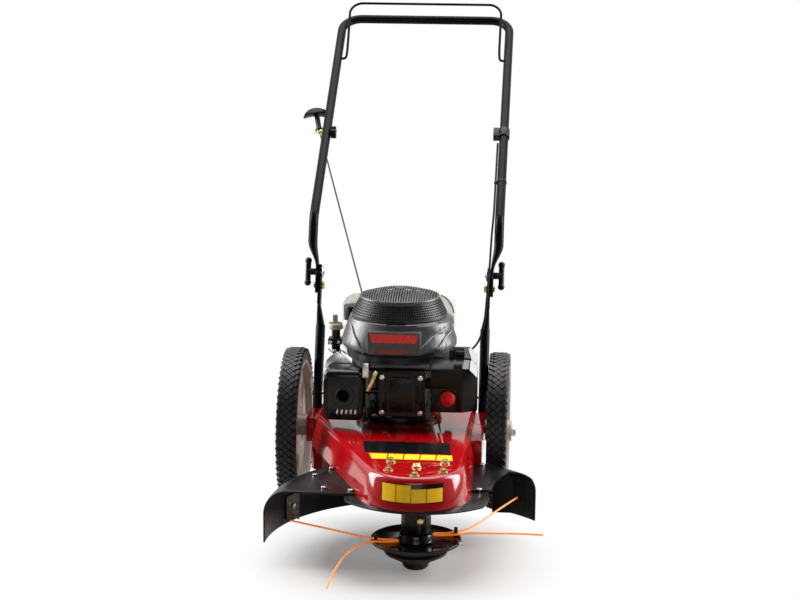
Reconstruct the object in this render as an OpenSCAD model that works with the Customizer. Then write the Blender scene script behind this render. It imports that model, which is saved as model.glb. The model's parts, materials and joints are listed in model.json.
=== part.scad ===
// Wheeled string trimmer with a petrol engine, a belt-driven cutting head and a folding handle.
// Origin on the ground under the head's spin axis, +Y to the rear, +Z up, millimetres.

/* [Wheels] */
// Outside diameter of a wheel
wheel_d = 356; // [330:2:380]
// Width of a tyre
tyre_w = 46; // [38:1:50]
// Distance between the two wheels' middle planes
track = 466; // [462:1:490]
// Distance from the head's spin axis back to the axle line
wheelbase = 436; // [430:2:470]
// Distance from the machine's middle plane to the head's spin axis
head_offset = 77; // [70:1:84]

/* [Deck] */
// Height of the deck's top above the ground
deck_top_z = 218; // [214:1:228]
// Height of the deck's side walls
deck_h = 66; // [62:1:70]
// Half the width of the deck's rear part
deck_half_w = 178; // [170:1:180]
// Radius of the rounded nose, at the top
nose_r = 101; // [94:1:106]
// Thickness of the deck's sheet steel
sheet_t = 2.5; // [2:0.25:3.5]

/* [Cutting head] */
// Radius of the head plate
head_r = 94; // [85:1:105]
// Height of the head plate's rim above the ground
head_z = 64; // [60:1:70]
// Diameter of the trimmer line
line_d = 4; // [3:0.1:4.5]

/* [Guards] */
// Outer radius of the two guards about the spin axis
guard_r = 320; // [312:1:330]
// Height of the guards' lower edge above the ground
guard_low_z = 42; // [34:1:60]
// Thickness of the guards' plastic
guard_t = 3; // [2:0.25:4]

/* [Engine] */
// Largest radius of the blower shroud
shroud_r = 129; // [122:1:133]
// Radius of the starter grille
grille_r = 88; // [80:1:94]
// Height of the starter grille above the deck
grille_h = 276; // [266:1:290]

/* [Handle] */
// Outside diameter of the handle tubes
tube_d = 22.2; // [20:0.1:22.4]
// Height of the top bar above the ground
handle_z = 1046; // [960:2:1100]
// Distance from the axle line back to the top bar
handle_reach = 893; // [800:2:950]
// Half the distance between the upper handle's legs
handle_half_w = 220; // [219:1:232]
// Height of the folding pivots above the ground
pivot_z = 467; // [455:1:480]

/* [Hidden] */
$fn = 64;
// Running clearance between a shaft and its bore
run_gap = 0.05;
// Clearance between pieces that move past each other or are fitted by hand
fit_gap = 0.3;
// Overrun of a cut beyond the face that it opens
over = 1;
// Thickness of the slices that a blended form is stretched between
slice_t = 0.2;
// Depth and inset of a blended form's end inside the piece that it joins
lap = 2;
lap_in = 0.9;

// Frame values
centre_x = -head_offset;
wheel_r = wheel_d / 2;
track_half = track / 2;
deck_bottom_z = deck_top_z - deck_h;
deck_under_z = deck_top_z - sheet_t;

// Deck outline
nose_x = -5;
nose_y = 14;
nose_draft = 17;
side_draft = 12;
rear_draft = 3;
shoulder_r = 40;
shoulder_ahead = 51;
rear_r = 25;
rear_behind = 124;
deck_edge_r = 10;
deck_left_x = centre_x - deck_half_w;
deck_right_x = centre_x + deck_half_w;
shoulder_y = wheelbase - shoulder_ahead;
rear_y = wheelbase + rear_behind - rear_r;
// Corner circles: position, radius at the top and outward lean of the wall
deck_corners = [
    [nose_x, nose_y, nose_r, nose_draft],
    [deck_left_x + shoulder_r, shoulder_y, shoulder_r, side_draft],
    [deck_left_x + rear_r, rear_y, rear_r, rear_draft],
    [deck_right_x - rear_r, rear_y, rear_r, rear_draft]
];
// Rounded top edge: depth below the top and step inward
edge_shares = [[1, 0], [0.6, 0.08], [0.3, 0.29], [0.1, 0.56], [0, 1]];

// Crank, belt and spindle
crank_x = centre_x + 7;
crank_ahead = 24;
crank_y = wheelbase - crank_ahead;
crank_r = 11;
crank_bottom_z = 160;
crank_top_z = 440;
crank_hole_r = 20;
belt_z = 184;
belt_w = 11;
belt_t = 8;
driven_r = 30;
drive_r = 34;
pulley_h = 24;
pulley_lip = 9;
spindle_r = 10;
spindle_bottom_z = 14;
spindle_top_z = 200;
bolt_r = 4;
bolt_head_r = 7;
bolt_head_h = 5.5;
washer_t = 1.5;
washer_r = 10;
spindle_bolt_r = 65;
spindle_bolt_angles = [30, 150, 210, 270, 330];
plate_t = 2.5;
under_z = deck_bottom_z - plate_t;
carrier_r = 78;
carrier_t = 6;
leg_r = 8;
housing_r = 27;
housing_bottom_z = 84;
housing_top_z = 166;
bearing_r = 21;
bearing_w = 12;
sleeve_r = 31;
sleeve_bottom_z = 80;
slit_w = 3;
slit_h = 22;
pinch_angle = -72;
pinch_z = 110;

// Under plate and guards
under_lens_r = 150;
under_front_r = 190;
under_front_x = 3;
under_front_y = 78;
under_wing_r = 262;
guard_bend_r = 50;
guard_in_r = 100;
guard_bolt_r = 3;
guard_head_r = 6;
guard_head_h = 4;
left_bolts = [[-225, 120], [-196, 172], [-196, 31], [-138, 18]];
right_bolts = [[127, 234], [127, 52]];
left_wing = [[-90, 0], [-250, 4], [-250, 190], [-90, 190]];
right_strip = [[80, 36], [142, 40], [148, 130], [148, 225.4], [137, 232.4], [125, 238.9], [113, 244.9],
    [101, 249.8], [80, 249.8]];
right_clip = [[90, 46], [152, 55], [160, 127], [184, 188], [236, 196], [250, 210], [250, 254],
    [125.5, 254], [125.5, 245.5], [90, 245.5]];
wall_x0 = 150;
wall_arc = 62;
wall_steps = 7;
wall_y = 250;
left_angle0 = 118;
left_angle1 = 180;
right_angle0 = 10;
right_angle1 = 75;
cutter_angle = 152;
cutter_w = 46;
cutter_h = 52;
cutter_z = 51;
cutter_t = 3;
blade_drop = 12;
cutter_gap = 1.2;

// Head
hub_top_z = 76;
hub_r = 34;
plate_top_z = 61;
foot_top_z = 38;
foot_r = 22;
post_r = 4;
post_in = 6;
post_top_z = 78;
line_r = line_d / 2;
// Route of each line: a free end, round the bight on the plate, the other free end
left_line = [[-274, 84, 64], [-180, 28, 66], [-110, -13, 67], [-86, -22, 66.4], [-62, -20, 64.4],
    [-42, -19, 64.4], [-35, -25, 64.4], [-42, -31, 64.4], [-62, -34, 64.4], [-86, -42, 66.6],
    [-112, -63, 64], [-134, -100, 58], [-149, -150, 47], [-157, -195, 36], [-160, -225, 30]];
right_line = [[205, 199, 95], [170, 146, 86], [136, 94, 76], [108, 58, 69], [86, 42, 66.6],
    [62, 34, 64.4], [42, 31, 64.4], [35, 25, 64.4], [42, 19, 64.4], [62, 20, 64.4],
    [86, 22, 66.4], [116, 31, 67], [170, 45, 64], [220, 56, 61], [263, 65, 57]];

// Wheels and axles
rim_r = 150;
rim_in_r = 142;
rim_half_w = 22;
web_t = 10;
web_hole_r = 28;
web_hole_at = 96;
web_holes = 6;
boss_r = 24;
boss_gap = 1;
axle_r = 8;
axle_head_r = 14;
axle_head_t = 6;
axle_head_h = 173;
bracket_out_h = 202;
bracket_front = 190;
bracket_rear = 44;
bracket_top_z = 206;
bracket_in_h = 170;
boss_in_h = bracket_out_h + boss_gap;
boss_out_h = 2 * track_half - boss_in_h;
axle_nut_r = 13;
axle_nut_t = 9;
axle_end_h = boss_out_h + fit_gap + axle_nut_t;
tyre_shares = [[0, 0.42], [0.05, 0.5], [0.45, 0.5], [0.78, 0.44], [0.93, 0.32], [1, 0.14]];

// Points given by their distance behind the axle line
function from_axle(points) = [for (p = points) p + [0, wheelbase, 0]];
function from_leg(points) = [for (p = points) p + [centre_x + handle_half_w, wheelbase, 0]];

// Handle
tube_r = tube_d / 2;
tube_wall = 1.6;
foot_h = 193.5;
foot_behind = 79;
foot_y = wheelbase + foot_behind;
foot_z = 160;
pivot_behind = 189;
pivot_y = wheelbase + pivot_behind;
lean = atan2(pivot_y - foot_y, pivot_z - foot_z);
lower_l = norm([pivot_y - foot_y, pivot_z - foot_z]);
flat_t = 7;
flat_w = 30;
flat_in_h = 195.5;
lower_flat_h = flat_in_h + flat_t / 2;
upper_flat_h = flat_in_h + flat_t + fit_gap + flat_t / 2;
upper_out_h = upper_flat_h + flat_t / 2;
flat_below = 45;
blend_below = 95;
flat_above = 48;
upper_end = 18;
upper_flat_l = 75;
upper_blend_l = 110;
bend_l = 163;
knob_l = 32;
bend_y = pivot_y + bend_l * sin(lean);
bend_z = pivot_z + bend_l * cos(lean);
leg_bend_l = 20;
bar_y = wheelbase + handle_reach;
incline = atan2(handle_z - bend_z, bar_y - bend_y);
upper_l = norm([bar_y - bend_y, handle_z - bend_z]);
corner_r = 50;
leg_turn = 90 - lean - incline;
leg_l = round(upper_l - leg_bend_l);
leg_bend = upper_l - leg_l;
leg_bend_r = leg_bend / tan(leg_turn / 2);
pivot_bolt_r = 4;
nut_r = 9;
nut_t = 8;
knob_stem_r = 8;
knob_bar_h = upper_out_h + 18.2;
knob_bar_r = 6.5;
knob_end_r = 8;
knob_bar_l = 26;
knob_bolt_end_h = upper_out_h + 12.2;
saddle_r = 14;
saddle_t = 3;
foot_bolts_at = [22, 72];
foot_bolt_t = 3;

// Bail, starter grip and fittings on the upper handle
bail_r = 3.2;
bail_at = 166;
bail_l = 172;
bail_half_w = handle_half_w - 22;
bail_corner_r = 33;
bail_open = 18;
bail_end_h = handle_half_w - 6;
guide_at = 310;
eye_point = [centre_x - handle_half_w - 25, wheelbase + 569, 782.5];
guide_wire_r = 2.5;
eye_r = 6.5;
rope_r = 2;
rope_start = [-160, wheelbase + 19, 488];
rope_dir = (eye_point - rope_start) / norm(eye_point - rope_start);
rope_end_gap = 1.2;
grip_lean = [-0.22, 0.55, 0.8];
grip_dir = grip_lean / norm(grip_lean);
grip_flange_r = 10.5;
grip_flange_t = 6;
grip_stem_r = 6.6;
grip_nub_r = 3;
grip_h = 64;
grip_half_w = 33;
grip_top_r = 41;
grip_under_r = 89;
grip_mid = 16;
grip_depth = 17;
star_r = 16;
star_t = 12;
star_lobes = 5;
star_lobe_r = 5;
clip_r = 14;
clip_l = 30;
clip_box = [14, 18, 30];
clip_at = 315;
cable_r = 2.5;
cable_in = 14.4;
cable_low = from_axle([[102, 189, 467], [102, 176, 430], [102, 164, 397], [99, 152, 362],
    [88, 130, 342], [62, 94, 331], [32, 58, 328], [-5.5, 24.5, 328]]);
cable_high = from_leg([[-40.2, 192.5, 476.5], [-37, 204, 508], [-32, 219, 550], [-21, 234, 592],
    [-15, 252, 625], [-cable_in, 284, 646], [-cable_in, 364, 698.5], [-cable_in, 444, 751],
    [-cable_in, 479, 774]]);

// Engine
case_r = 80;
case_top_z = 338;
flange_r = 95;
flange_t = 14;
shelf_r = 107;
shelf_t = 7;
cyl_x = centre_x + 24;
cyl_z = 302;
cyl_r = 34;
neck_w = 92;
neck_y = wheelbase - 86;
fin_w = 104;
fin_h = 72;
fin_t = 3;
fin_gap = 9;
fins = 5;
head_front_y = wheelbase - 166;
head_back_y = wheelbase - 150;
head_half_h = 51;
cover_w = 98;
cover_h = 102;
cover_y = wheelbase - 182;
cover_flange_t = 6;
cover_step = 4;
panel_w = 55;
panel_h = 74;
panel_y = wheelbase - 187;
rocker_bolt_x = 42;
rocker_bolt_z = 39.5;
rocker_bolt_y = wheelbase - 182;
engine_bolt_at = 88;
engine_bolt_angles = [20, 140, 260];
muffler_x0 = -226;
muffler_x1 = -138;
muffler_z0 = 238;
muffler_z1 = 337;
muffler_y0 = wheelbase - 168;
muffler_y1 = wheelbase - 93;
muffler_edge_r = 16;
muffler_wall = 2;
outlet_x = -182;
outlet_z = 294;
outlet_r = 15;
pipe_r = 14;
pipe_y = wheelbase - 158;
strap_top = [-108.5, wheelbase - 168, 350];
strap_w = 8;
strap_l = 50;
strap_t = 2;
strap_angle = -23;
boot_r = 9;
boot_a = [-112, wheelbase - 166, 264];
plug_y = wheelbase - 159;
plug_r = 5;
plug_l = 12;
boot_b = [-131, wheelbase - 186, 262];
lead_r = 3.5;
lead = from_axle([[-131, -186, 262], [-135, -174, 240], [-128, -136, 236], [-126, -96, 244],
    [-131.2, -81.8, 262]]);
filter_x0 = 10;
filter_x1 = 112;
filter_y0 = wheelbase - 168;
filter_y1 = wheelbase - 134;
filter_z0 = 262;
filter_z1 = 374;
filter_cut_x = 79;
filter_cut_y = wheelbase - 146;
filter_wall = 2.5;
slope_y = wheelbase - 140;
slope_z = 358;
base_t = 20;
ledge_x = 52;
ledge_y = wheelbase - 104;
ledge_z = 396;
carb_x0 = 15;
carb_x1 = 72;
carb_y1 = wheelbase - 64;
carb_z0 = 272;
carb_z1 = 328;
bowl_x = 37;
bowl_y = wheelbase - 88;
bowl_r = 17;
bowl_z = 246;
intake_y = wheelbase - 72;
intake_r = 13;
primer_x = 47.5;
primer_z = 293;
primer_r = 17;
primer_y = wheelbase - 180;
primer_back_y = wheelbase - 144;
primer_dome_r = 22;
housing_x = primer_x + primer_r + 3;
housing_z = primer_z + primer_r + 6;
tank_x0 = -212;
tank_x1 = 38;
tank_y0 = wheelbase + 58;
tank_y1 = wheelbase + 162;
tank_wide_x0 = -214;
tank_wide_x1 = 46;
tank_back_y = wheelbase + 112;
tank_back_y1 = wheelbase + 164;
tank_top_z = 467;
tank_round_r = 36;
tank_z0 = 334;
tank_z1 = 402;
tank_gap_r = 134;
tank_edge_r = 18;
shelf_back_y = wheelbase + 154;
shelf_half_w = 40;
cap_x = -183;
cap_y = wheelbase + 84;
cap_r = 24;
cap_z = 410;
cap_top_z = 444;
neck_r = 17;
oil_r = 10;
oil_path = from_axle([[-130, 2, 270], [-182, 23, 303], [-205, 32, 318], [-217, 38, 334],
    [-221, 40, 352], [-221, 40, 396]]);
oil_bore_r = 6;
oil_bore_l = 46;
dip_r = 2;
dip_l = 42;
dip_cap_r = 16;
dip_cap_t = 16;
dip_tab = [8, 28, 20];
shroud_z0 = case_top_z + shelf_t;
shroud_wide_h = 39;
shroud_wide_z = shroud_z0 + shroud_wide_h;
shroud_top_z = 449;
shroud_t = 3;
shroud_foot_r = 106;
shroud_neck_r = 106;
shroud_low_in = 10;
shroud_low_h = 29;
shroud_low_z = shroud_z0 + shroud_low_h;
shroud_chin_h = 10;
shroud_chin_z = shroud_z0 + shroud_chin_h;
shroud_shoulder_r = 113;
shroud_shoulder_dx = 9;
shroud_shoulder_round = 12;
panel_x0 = -130;
panel_x1 = -15;
panel_front_y = wheelbase - 152;
panel_back_y = wheelbase - 106;
panel_z0 = 384;
panel_z1 = 434;
lip_x0 = -122;
lip_x1 = 8;
lip_y = wheelbase - 162;
lip_z = 357;
lip_t = 6;
grille_z = deck_top_z + grille_h;
grille_rise = 6;
grille_t = 2.5;
slit_gap = 8;
grille_slit_w = 4;
grille_slit_r = 78;
badge_r = 13;
bush_r = 7;
bush_in = [-140, wheelbase + 10, 478];
fly_r = 90;
fly_z0 = 362;
fly_z1 = 392;
vane_r = 84;
vane_h = 22;
vane_t = 4;
vanes = 16;

// Straight round bar between two points
module rod(a, b, r) {
    v = b - a;
    translate(a)
        rotate([0, acos(v.z / norm(v)), atan2(v.y, v.x)])
            cylinder(r = r, h = norm(v));
}

// Direction of a route at one of its points
function heading(p, i) =
    let (a = p[max(i - 1, 0)], b = p[min(i + 1, len(p) - 1)]) (b - a) / norm(b - a);

// Round cord along a route; side is a direction that the route never takes
module cord(points, r, side, sides = 8) {
    rings = len(points);
    ring_points = [for (i = [0 : rings - 1])
        let (t = heading(points, i), u = cross(side, t) / norm(cross(side, t)), v = cross(t, u))
        for (k = [0 : sides - 1]) points[i] + r * (cos(k * 360 / sides) * u + sin(k * 360 / sides) * v)];
    walls = [for (i = [0 : rings - 2]) for (k = [0 : sides - 1])
        [i * sides + k, (i + 1) * sides + k, (i + 1) * sides + (k + 1) % sides, i * sides + (k + 1) % sides]];
    first = [[for (k = [0 : sides - 1]) k]];
    last = [[for (k = [sides - 1 : -1 : 0]) (rings - 1) * sides + k]];
    polyhedron(points = ring_points, faces = concat(walls, first, last), convexity = 4);
}

// Hex-headed bolt: head above the seat, shank below it
module hex_bolt(shank_r, shank_l, head_r, head_h) {
    cylinder(r = head_r, h = head_h, $fn = 6);
    translate([0, 0, -shank_l])
        cylinder(r = shank_r, h = shank_l);
}

// Places a piece drawn for the right half of the machine
module on_right() {
    translate([centre_x, 0, 0])
        children();
}

module on_left() {
    translate([centre_x, 0, 0])
        mirror([1, 0, 0])
            children();
}

module on_both() {
    on_right() children();
    on_left() children();
}

// Frame of the lower tubes: origin at the pivot, z along the tube
module at_pivot(h) {
    translate([h, pivot_y, pivot_z])
        rotate([-lean, 0, 0])
            children();
}

// Frame of the upper handle's slanted plane: origin at the top bar, y along the legs
module in_handle_plane() {
    translate([0, bar_y, handle_z])
        rotate([incline, 0, 0])
            children();
}

// Section of a round bar, or of a tube where the wall is thinner than the radius
module bar_section(r, wall) {
    difference() {
        circle(r = r);
        if (wall < r)
            circle(r = r - wall);
    }
}

// U of round bar: the top bar, two bends and two legs along -y
module u_bar(half_w, bend_r, leg_l, r, wall) {
    rotate([0, 90, 0])
        linear_extrude(2 * (half_w - bend_r), center = true)
            bar_section(r, wall);
    for (m = [0, 1])
        mirror([m, 0, 0])
            translate([half_w - bend_r, -bend_r, 0]) {
                rotate_extrude(angle = 90)
                    translate([bend_r, 0])
                        bar_section(r, wall);
                translate([bend_r, 0, 0])
                    rotate([90, 0, 0])
                        linear_extrude(leg_l - bend_r)
                            bar_section(r, wall);
            }
}

// One level of the deck's form
module deck_level(grow, lean_part, z) {
    for (c = deck_corners)
        translate([c[0], c[1], z])
            cylinder(r = c[2] + c[3] * lean_part + grow, h = slice_t);
}

// The deck's outer form, moved inward by inset
module deck_form(inset, drop) {
    hull() {
        deck_level(-inset, 1 + drop / deck_h, deck_bottom_z - drop);
        for (e = edge_shares)
            deck_level(-inset - deck_edge_r * e[1], deck_edge_r * e[0] / deck_h,
                deck_top_z - inset - deck_edge_r * e[0] - slice_t);
    }
}

module at_crank() {
    translate([crank_x, crank_y, 0])
        children();
}

// Axle frame of the right wheel: z outward
module at_axle() {
    translate([0, wheelbase, wheel_r])
        rotate([0, 90, 0])
            children();
}

// Holes through the deck's two side walls for the axles and the handle bolts
module side_wall_holes() {
    on_both() {
        at_axle()
            translate([0, 0, bracket_in_h])
                cylinder(r = axle_r + run_gap, h = bracket_out_h - bracket_in_h);
        for (l = foot_bolts_at)
            foot_bolt_frame(l)
                cylinder(r = bolt_r + run_gap, h = 2 * tube_d, center = true);
    }
}

module foot_bolt_frame(l) {
    at_pivot(foot_h)
        translate([0, 0, l - lower_l])
            rotate([0, 90, 0])
                children();
}

module deck_shell() {
    color("firebrick")
        difference() {
            deck_form(0, 0);
            deck_form(sheet_t, over);
            at_crank()
                translate([0, 0, deck_under_z - over])
                    cylinder(r = crank_hole_r, h = sheet_t + 2 * over);
            translate([0, 0, deck_under_z - over])
                cylinder(r = bolt_r + run_gap, h = sheet_t + 2 * over);
            for (a = spindle_bolt_angles)
                rotate([0, 0, a])
                    translate([spindle_bolt_r, 0, deck_under_z - over])
                        cylinder(r = bolt_r + run_gap, h = sheet_t + 2 * over);
            at_crank()
                for (a = engine_bolt_angles)
                    rotate([0, 0, a])
                        translate([engine_bolt_at, 0, deck_under_z - over])
                            cylinder(r = bolt_r + run_gap, h = sheet_t + 2 * over);
            side_wall_holes();
        }
}

module under_outline() {
    intersection() {
        circle(r = under_lens_r);
        translate([under_front_x, under_front_y])
            circle(r = under_front_r);
    }
    intersection() {
        circle(r = under_wing_r);
        polygon(left_wing);
    }
    polygon(right_strip);
}

module under_plate() {
    color("dimgray")
        translate([0, 0, under_z])
            linear_extrude(plate_t)
                difference() {
                    under_outline();
                    circle(r = housing_r + run_gap);
                    for (b = concat(left_bolts, right_bolts))
                        translate(b)
                            circle(r = guard_bolt_r + run_gap);
                    for (a = spindle_bolt_angles)
                        rotate(a)
                            translate([spindle_bolt_r, 0])
                                circle(r = bolt_r + run_gap);
                }
}

// Side box of the right half, between the deck's wall and the wheel
module axle_bracket(front) {
    difference() {
        translate([bracket_in_h, wheelbase - front, deck_bottom_z])
            cube([bracket_out_h - bracket_in_h, front + bracket_rear, bracket_top_z - deck_bottom_z]);
        at_axle()
            translate([0, 0, bracket_in_h - over])
                cylinder(r = axle_r + run_gap, h = bracket_out_h - bracket_in_h + 2 * over);
    }
}

module axle_brackets() {
    color("firebrick")
        difference() {
            union() {
                on_right() axle_bracket(bracket_front);
                on_left() axle_bracket(bracket_rear);
            }
            deck_form(0, 0);
        }
}

module axles() {
    color("silver")
        on_both()
            at_axle() {
                translate([0, 0, axle_head_h])
                    cylinder(r = axle_r, h = axle_end_h - axle_head_h);
                translate([0, 0, axle_head_h - axle_head_t])
                    cylinder(r = axle_head_r, h = axle_head_t);
            }
}

module axle_nuts() {
    color("silver")
        on_both()
            at_axle()
                translate([0, 0, axle_end_h - axle_nut_t])
                    difference() {
                        cylinder(r = axle_nut_r, h = axle_nut_t, $fn = 6);
                        translate([0, 0, -over])
                            cylinder(r = axle_r, h = axle_nut_t + 2 * over);
                    }
}

module tyre() {
    at_axle()
        translate([0, 0, track_half])
            rotate_extrude($fn = 96)
                polygon(concat(
                    [for (s = tyre_shares) [rim_r + (wheel_r - rim_r) * s[0], tyre_w * s[1]]],
                    [for (i = [len(tyre_shares) - 1 : -1 : 0])
                        [rim_r + (wheel_r - rim_r) * tyre_shares[i][0], -tyre_w * tyre_shares[i][1]]]));
}

module hub() {
    at_axle()
        difference() {
            union() {
                translate([0, 0, track_half - rim_half_w])
                    difference() {
                        cylinder(r = rim_r, h = 2 * rim_half_w, $fn = 96);
                        translate([0, 0, -over])
                            cylinder(r = rim_in_r, h = 2 * rim_half_w + 2 * over, $fn = 96);
                    }
                translate([0, 0, track_half - web_t / 2])
                    cylinder(r = rim_in_r + over, h = web_t, $fn = 96);
                translate([0, 0, boss_in_h])
                    cylinder(r = boss_r, h = boss_out_h - boss_in_h);
            }
            cylinder(r = axle_r + run_gap, h = axle_end_h);
            for (i = [0 : web_holes - 1])
                rotate([0, 0, i * 360 / web_holes])
                    translate([web_hole_at, 0, boss_in_h])
                        cylinder(r = web_hole_r, h = boss_out_h - boss_in_h);
        }
}

module tyre_left() {
    color("dimgray") on_left() tyre();
}

module tyre_right() {
    color("dimgray") on_right() tyre();
}

module hub_left() {
    color("rosybrown") on_left() hub();
}

module hub_right() {
    color("rosybrown") on_right() hub();
}

// Flat end of a tube, from one distance along the tube to another
module tube_flat(l0, l1, inset) {
    translate([inset - flat_t / 2, inset - flat_w / 2, l0])
        cube([flat_t - 2 * inset, flat_w - 2 * inset, l1 - l0]);
}

// Lower handle tube of the right half
module lower_tube() {
    difference() {
        union() {
            at_pivot(foot_h)
                translate([0, 0, -lower_l])
                    cylinder(r = tube_r, h = lower_l - blend_below);
            hull() {
                at_pivot(foot_h)
                    translate([0, 0, -blend_below - lap])
                        cylinder(r = tube_r - lap_in, h = slice_t, $fn = 32);
                at_pivot(lower_flat_h)
                    tube_flat(lap - flat_below, lap + slice_t - flat_below, lap_in);
            }
            at_pivot(lower_flat_h)
                tube_flat(-flat_below, flat_above, 0);
        }
        at_pivot(foot_h)
            translate([0, 0, -lower_l - over])
                cylinder(r = tube_r - tube_wall, h = lower_l - blend_below - 2 * lap);
        at_pivot(lower_flat_h)
            rotate([0, 90, 0])
                cylinder(r = pivot_bolt_r + run_gap, h = 2 * flat_t, center = true);
        at_pivot(lower_flat_h)
            translate([0, 0, knob_l])
                rotate([0, 90, 0])
                    cylinder(r = bolt_r + fit_gap / 2, h = 2 * flat_t, center = true);
        at_pivot(lower_flat_h)
            knob_notch();
        for (l = foot_bolts_at)
            foot_bolt_frame(l)
                cylinder(r = bolt_r + run_gap, h = 2 * tube_d, center = true);
    }
}

// Way out to the front for the knob's bolt, round the pivot
module knob_notch() {
    intersection() {
        rotate([0, 90, 0])
            difference() {
                cylinder(r = knob_l + bolt_r + fit_gap, h = 2 * flat_t, center = true);
                cylinder(r = knob_l - bolt_r - fit_gap, h = 4 * flat_t, center = true);
            }
        translate([-2 * flat_t, -2 * flat_w, 0])
            cube([4 * flat_t, 2 * flat_w, 2 * flat_above]);
    }
}

module lower_tube_left() {
    color("black") on_left() lower_tube();
}

module lower_tube_right() {
    color("black") on_right() lower_tube();
}

module handle_bolts() {
    color("goldenrod")
        on_both() {
            for (l = foot_bolts_at)
                foot_bolt_frame(l) {
                    translate([0, 0, tube_r])
                        cylinder(r = bolt_head_r, h = foot_bolt_t);
                    translate([0, 0, -tube_d])
                        cylinder(r = bolt_r, h = tube_d + tube_r);
                }
            at_pivot(0)
                rotate([0, 90, 0]) {
                    translate([0, 0, flat_in_h - nut_t])
                        cylinder(r = nut_r, h = nut_t, $fn = 6);
                    translate([0, 0, flat_in_h])
                        cylinder(r = pivot_bolt_r, h = upper_out_h + fit_gap - flat_in_h);
                    translate([0, 0, upper_out_h + fit_gap])
                        cylinder(r = bolt_head_r, h = nut_t / 2);
                }
        }
}

// Section of a guard: flat top, rounded corner, hanging curtain
module guard_section() {
    top = deck_bottom_z + guard_t;
    translate([guard_in_r, deck_bottom_z])
        square([guard_r - guard_bend_r - guard_in_r, guard_t]);
    translate([guard_r - guard_t, guard_low_z])
        square([guard_t, top - guard_bend_r - guard_low_z]);
    translate([guard_r - guard_bend_r, top - guard_bend_r])
        intersection() {
            difference() {
                circle(r = guard_bend_r);
                circle(r = guard_bend_r - guard_t);
            }
            square(guard_bend_r);
        }
}

// Point on the middle of the right guard's skin, a degrees round its bend, in the closing wall's plane
function wall_edge(a) =
    let(r = guard_r - guard_bend_r + (guard_bend_r - guard_t / 2) * cos(a), y = wall_y + guard_t / 2)
    [sqrt(r * r - y * y), deck_bottom_z + guard_t - guard_bend_r + (guard_bend_r - guard_t / 2) * sin(a)];

module closing_wall() {
    low = guard_low_z + over;
    translate([0, wall_y + guard_t, 0])
        rotate([90, 0, 0])
            linear_extrude(guard_t)
                polygon(concat([[wall_x0, low], [wall_edge(0).x, low]],
                    [for (i = [0 : wall_steps]) wall_edge(i * wall_arc / wall_steps)]));
}

module guard_bolt_holes(spots) {
    for (b = spots)
        translate([b[0], b[1], under_z])
            cylinder(r = guard_bolt_r + run_gap, h = 4 * guard_t);
}

module cutter_frame() {
    rotate([0, 0, cutter_angle])
        translate([guard_r - guard_t, 0, cutter_z + cutter_h / 2])
            rotate([0, -90, 0])
                children();
}

module guard_left() {
    color("black")
        difference() {
            rotate([0, 0, left_angle0])
                rotate_extrude(angle = left_angle1 - left_angle0, $fn = 128)
                    guard_section();
            deck_form(-fit_gap, 0);
            guard_bolt_holes(left_bolts);
            cutter_frame()
                cylinder(r = guard_bolt_r + run_gap, h = 4 * guard_t, center = true);
        }
}

module guard_right() {
    color("black")
        difference() {
            union() {
                intersection() {
                    rotate([0, 0, right_angle0])
                        rotate_extrude(angle = right_angle1 - right_angle0, $fn = 128)
                            guard_section();
                    linear_extrude(deck_top_z)
                        polygon(right_clip);
                }
                closing_wall();
            }
            deck_form(-fit_gap, 0);
            guard_bolt_holes(right_bolts);
        }
}

module guard_bolts() {
    color("dimgray") {
        for (b = concat(left_bolts, right_bolts))
            translate([b[0], b[1], deck_bottom_z + guard_t])
                hex_bolt(guard_bolt_r, 2 * guard_t + plate_t, guard_head_r, guard_head_h);
        cutter_frame()
            translate([0, 0, cutter_t + cutter_gap])
                hex_bolt(guard_bolt_r, cutter_t + 2 * guard_t, guard_head_r, guard_head_h);
    }
}

module line_cutter() {
    color("gray")
        cutter_frame()
            translate([0, 0, cutter_gap])
                difference() {
                    linear_extrude(cutter_t)
                        polygon([[cutter_h / 2, -cutter_w / 2], [cutter_h / 2, cutter_w / 2],
                            [-cutter_h / 2, cutter_w / 2], [-cutter_h / 2, 0],
                            [-cutter_h / 2 - blade_drop, -cutter_w / 2]]);
                    cylinder(r = guard_bolt_r + run_gap, h = 3 * cutter_t, center = true);
                }
}

module spindle_carrier() {
    color("gray")
        difference() {
            union() {
                translate([0, 0, deck_bottom_z])
                    cylinder(r = carrier_r, h = carrier_t);
                translate([0, 0, housing_bottom_z])
                    cylinder(r = housing_r, h = housing_top_z - housing_bottom_z);
                for (a = spindle_bolt_angles)
                    rotate([0, 0, a])
                        translate([spindle_bolt_r, 0, deck_bottom_z])
                            cylinder(r = leg_r, h = deck_under_z - deck_bottom_z);
            }
            translate([0, 0, housing_bottom_z - over])
                cylinder(r = bearing_r, h = deck_h + deck_bottom_z);
            for (a = spindle_bolt_angles)
                rotate([0, 0, a])
                    translate([spindle_bolt_r, 0, deck_bottom_z - over])
                        cylinder(r = bolt_r + run_gap, h = deck_h + 2 * over);
        }
}

module spindle_bearings() {
    color("silver")
        for (z = [housing_bottom_z, housing_top_z - bearing_w])
            translate([0, 0, z])
                difference() {
                    cylinder(r = bearing_r, h = bearing_w);
                    translate([0, 0, -over])
                        cylinder(r = spindle_r + run_gap, h = bearing_w + 2 * over);
                }
}

// Flange bolt of the deck: washer face, hex head and shank
module deck_bolt(shank_l) {
    cylinder(r = washer_r, h = washer_t);
    translate([0, 0, washer_t])
        hex_bolt(bolt_r, shank_l + washer_t, bolt_head_r, bolt_head_h);
}

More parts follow.
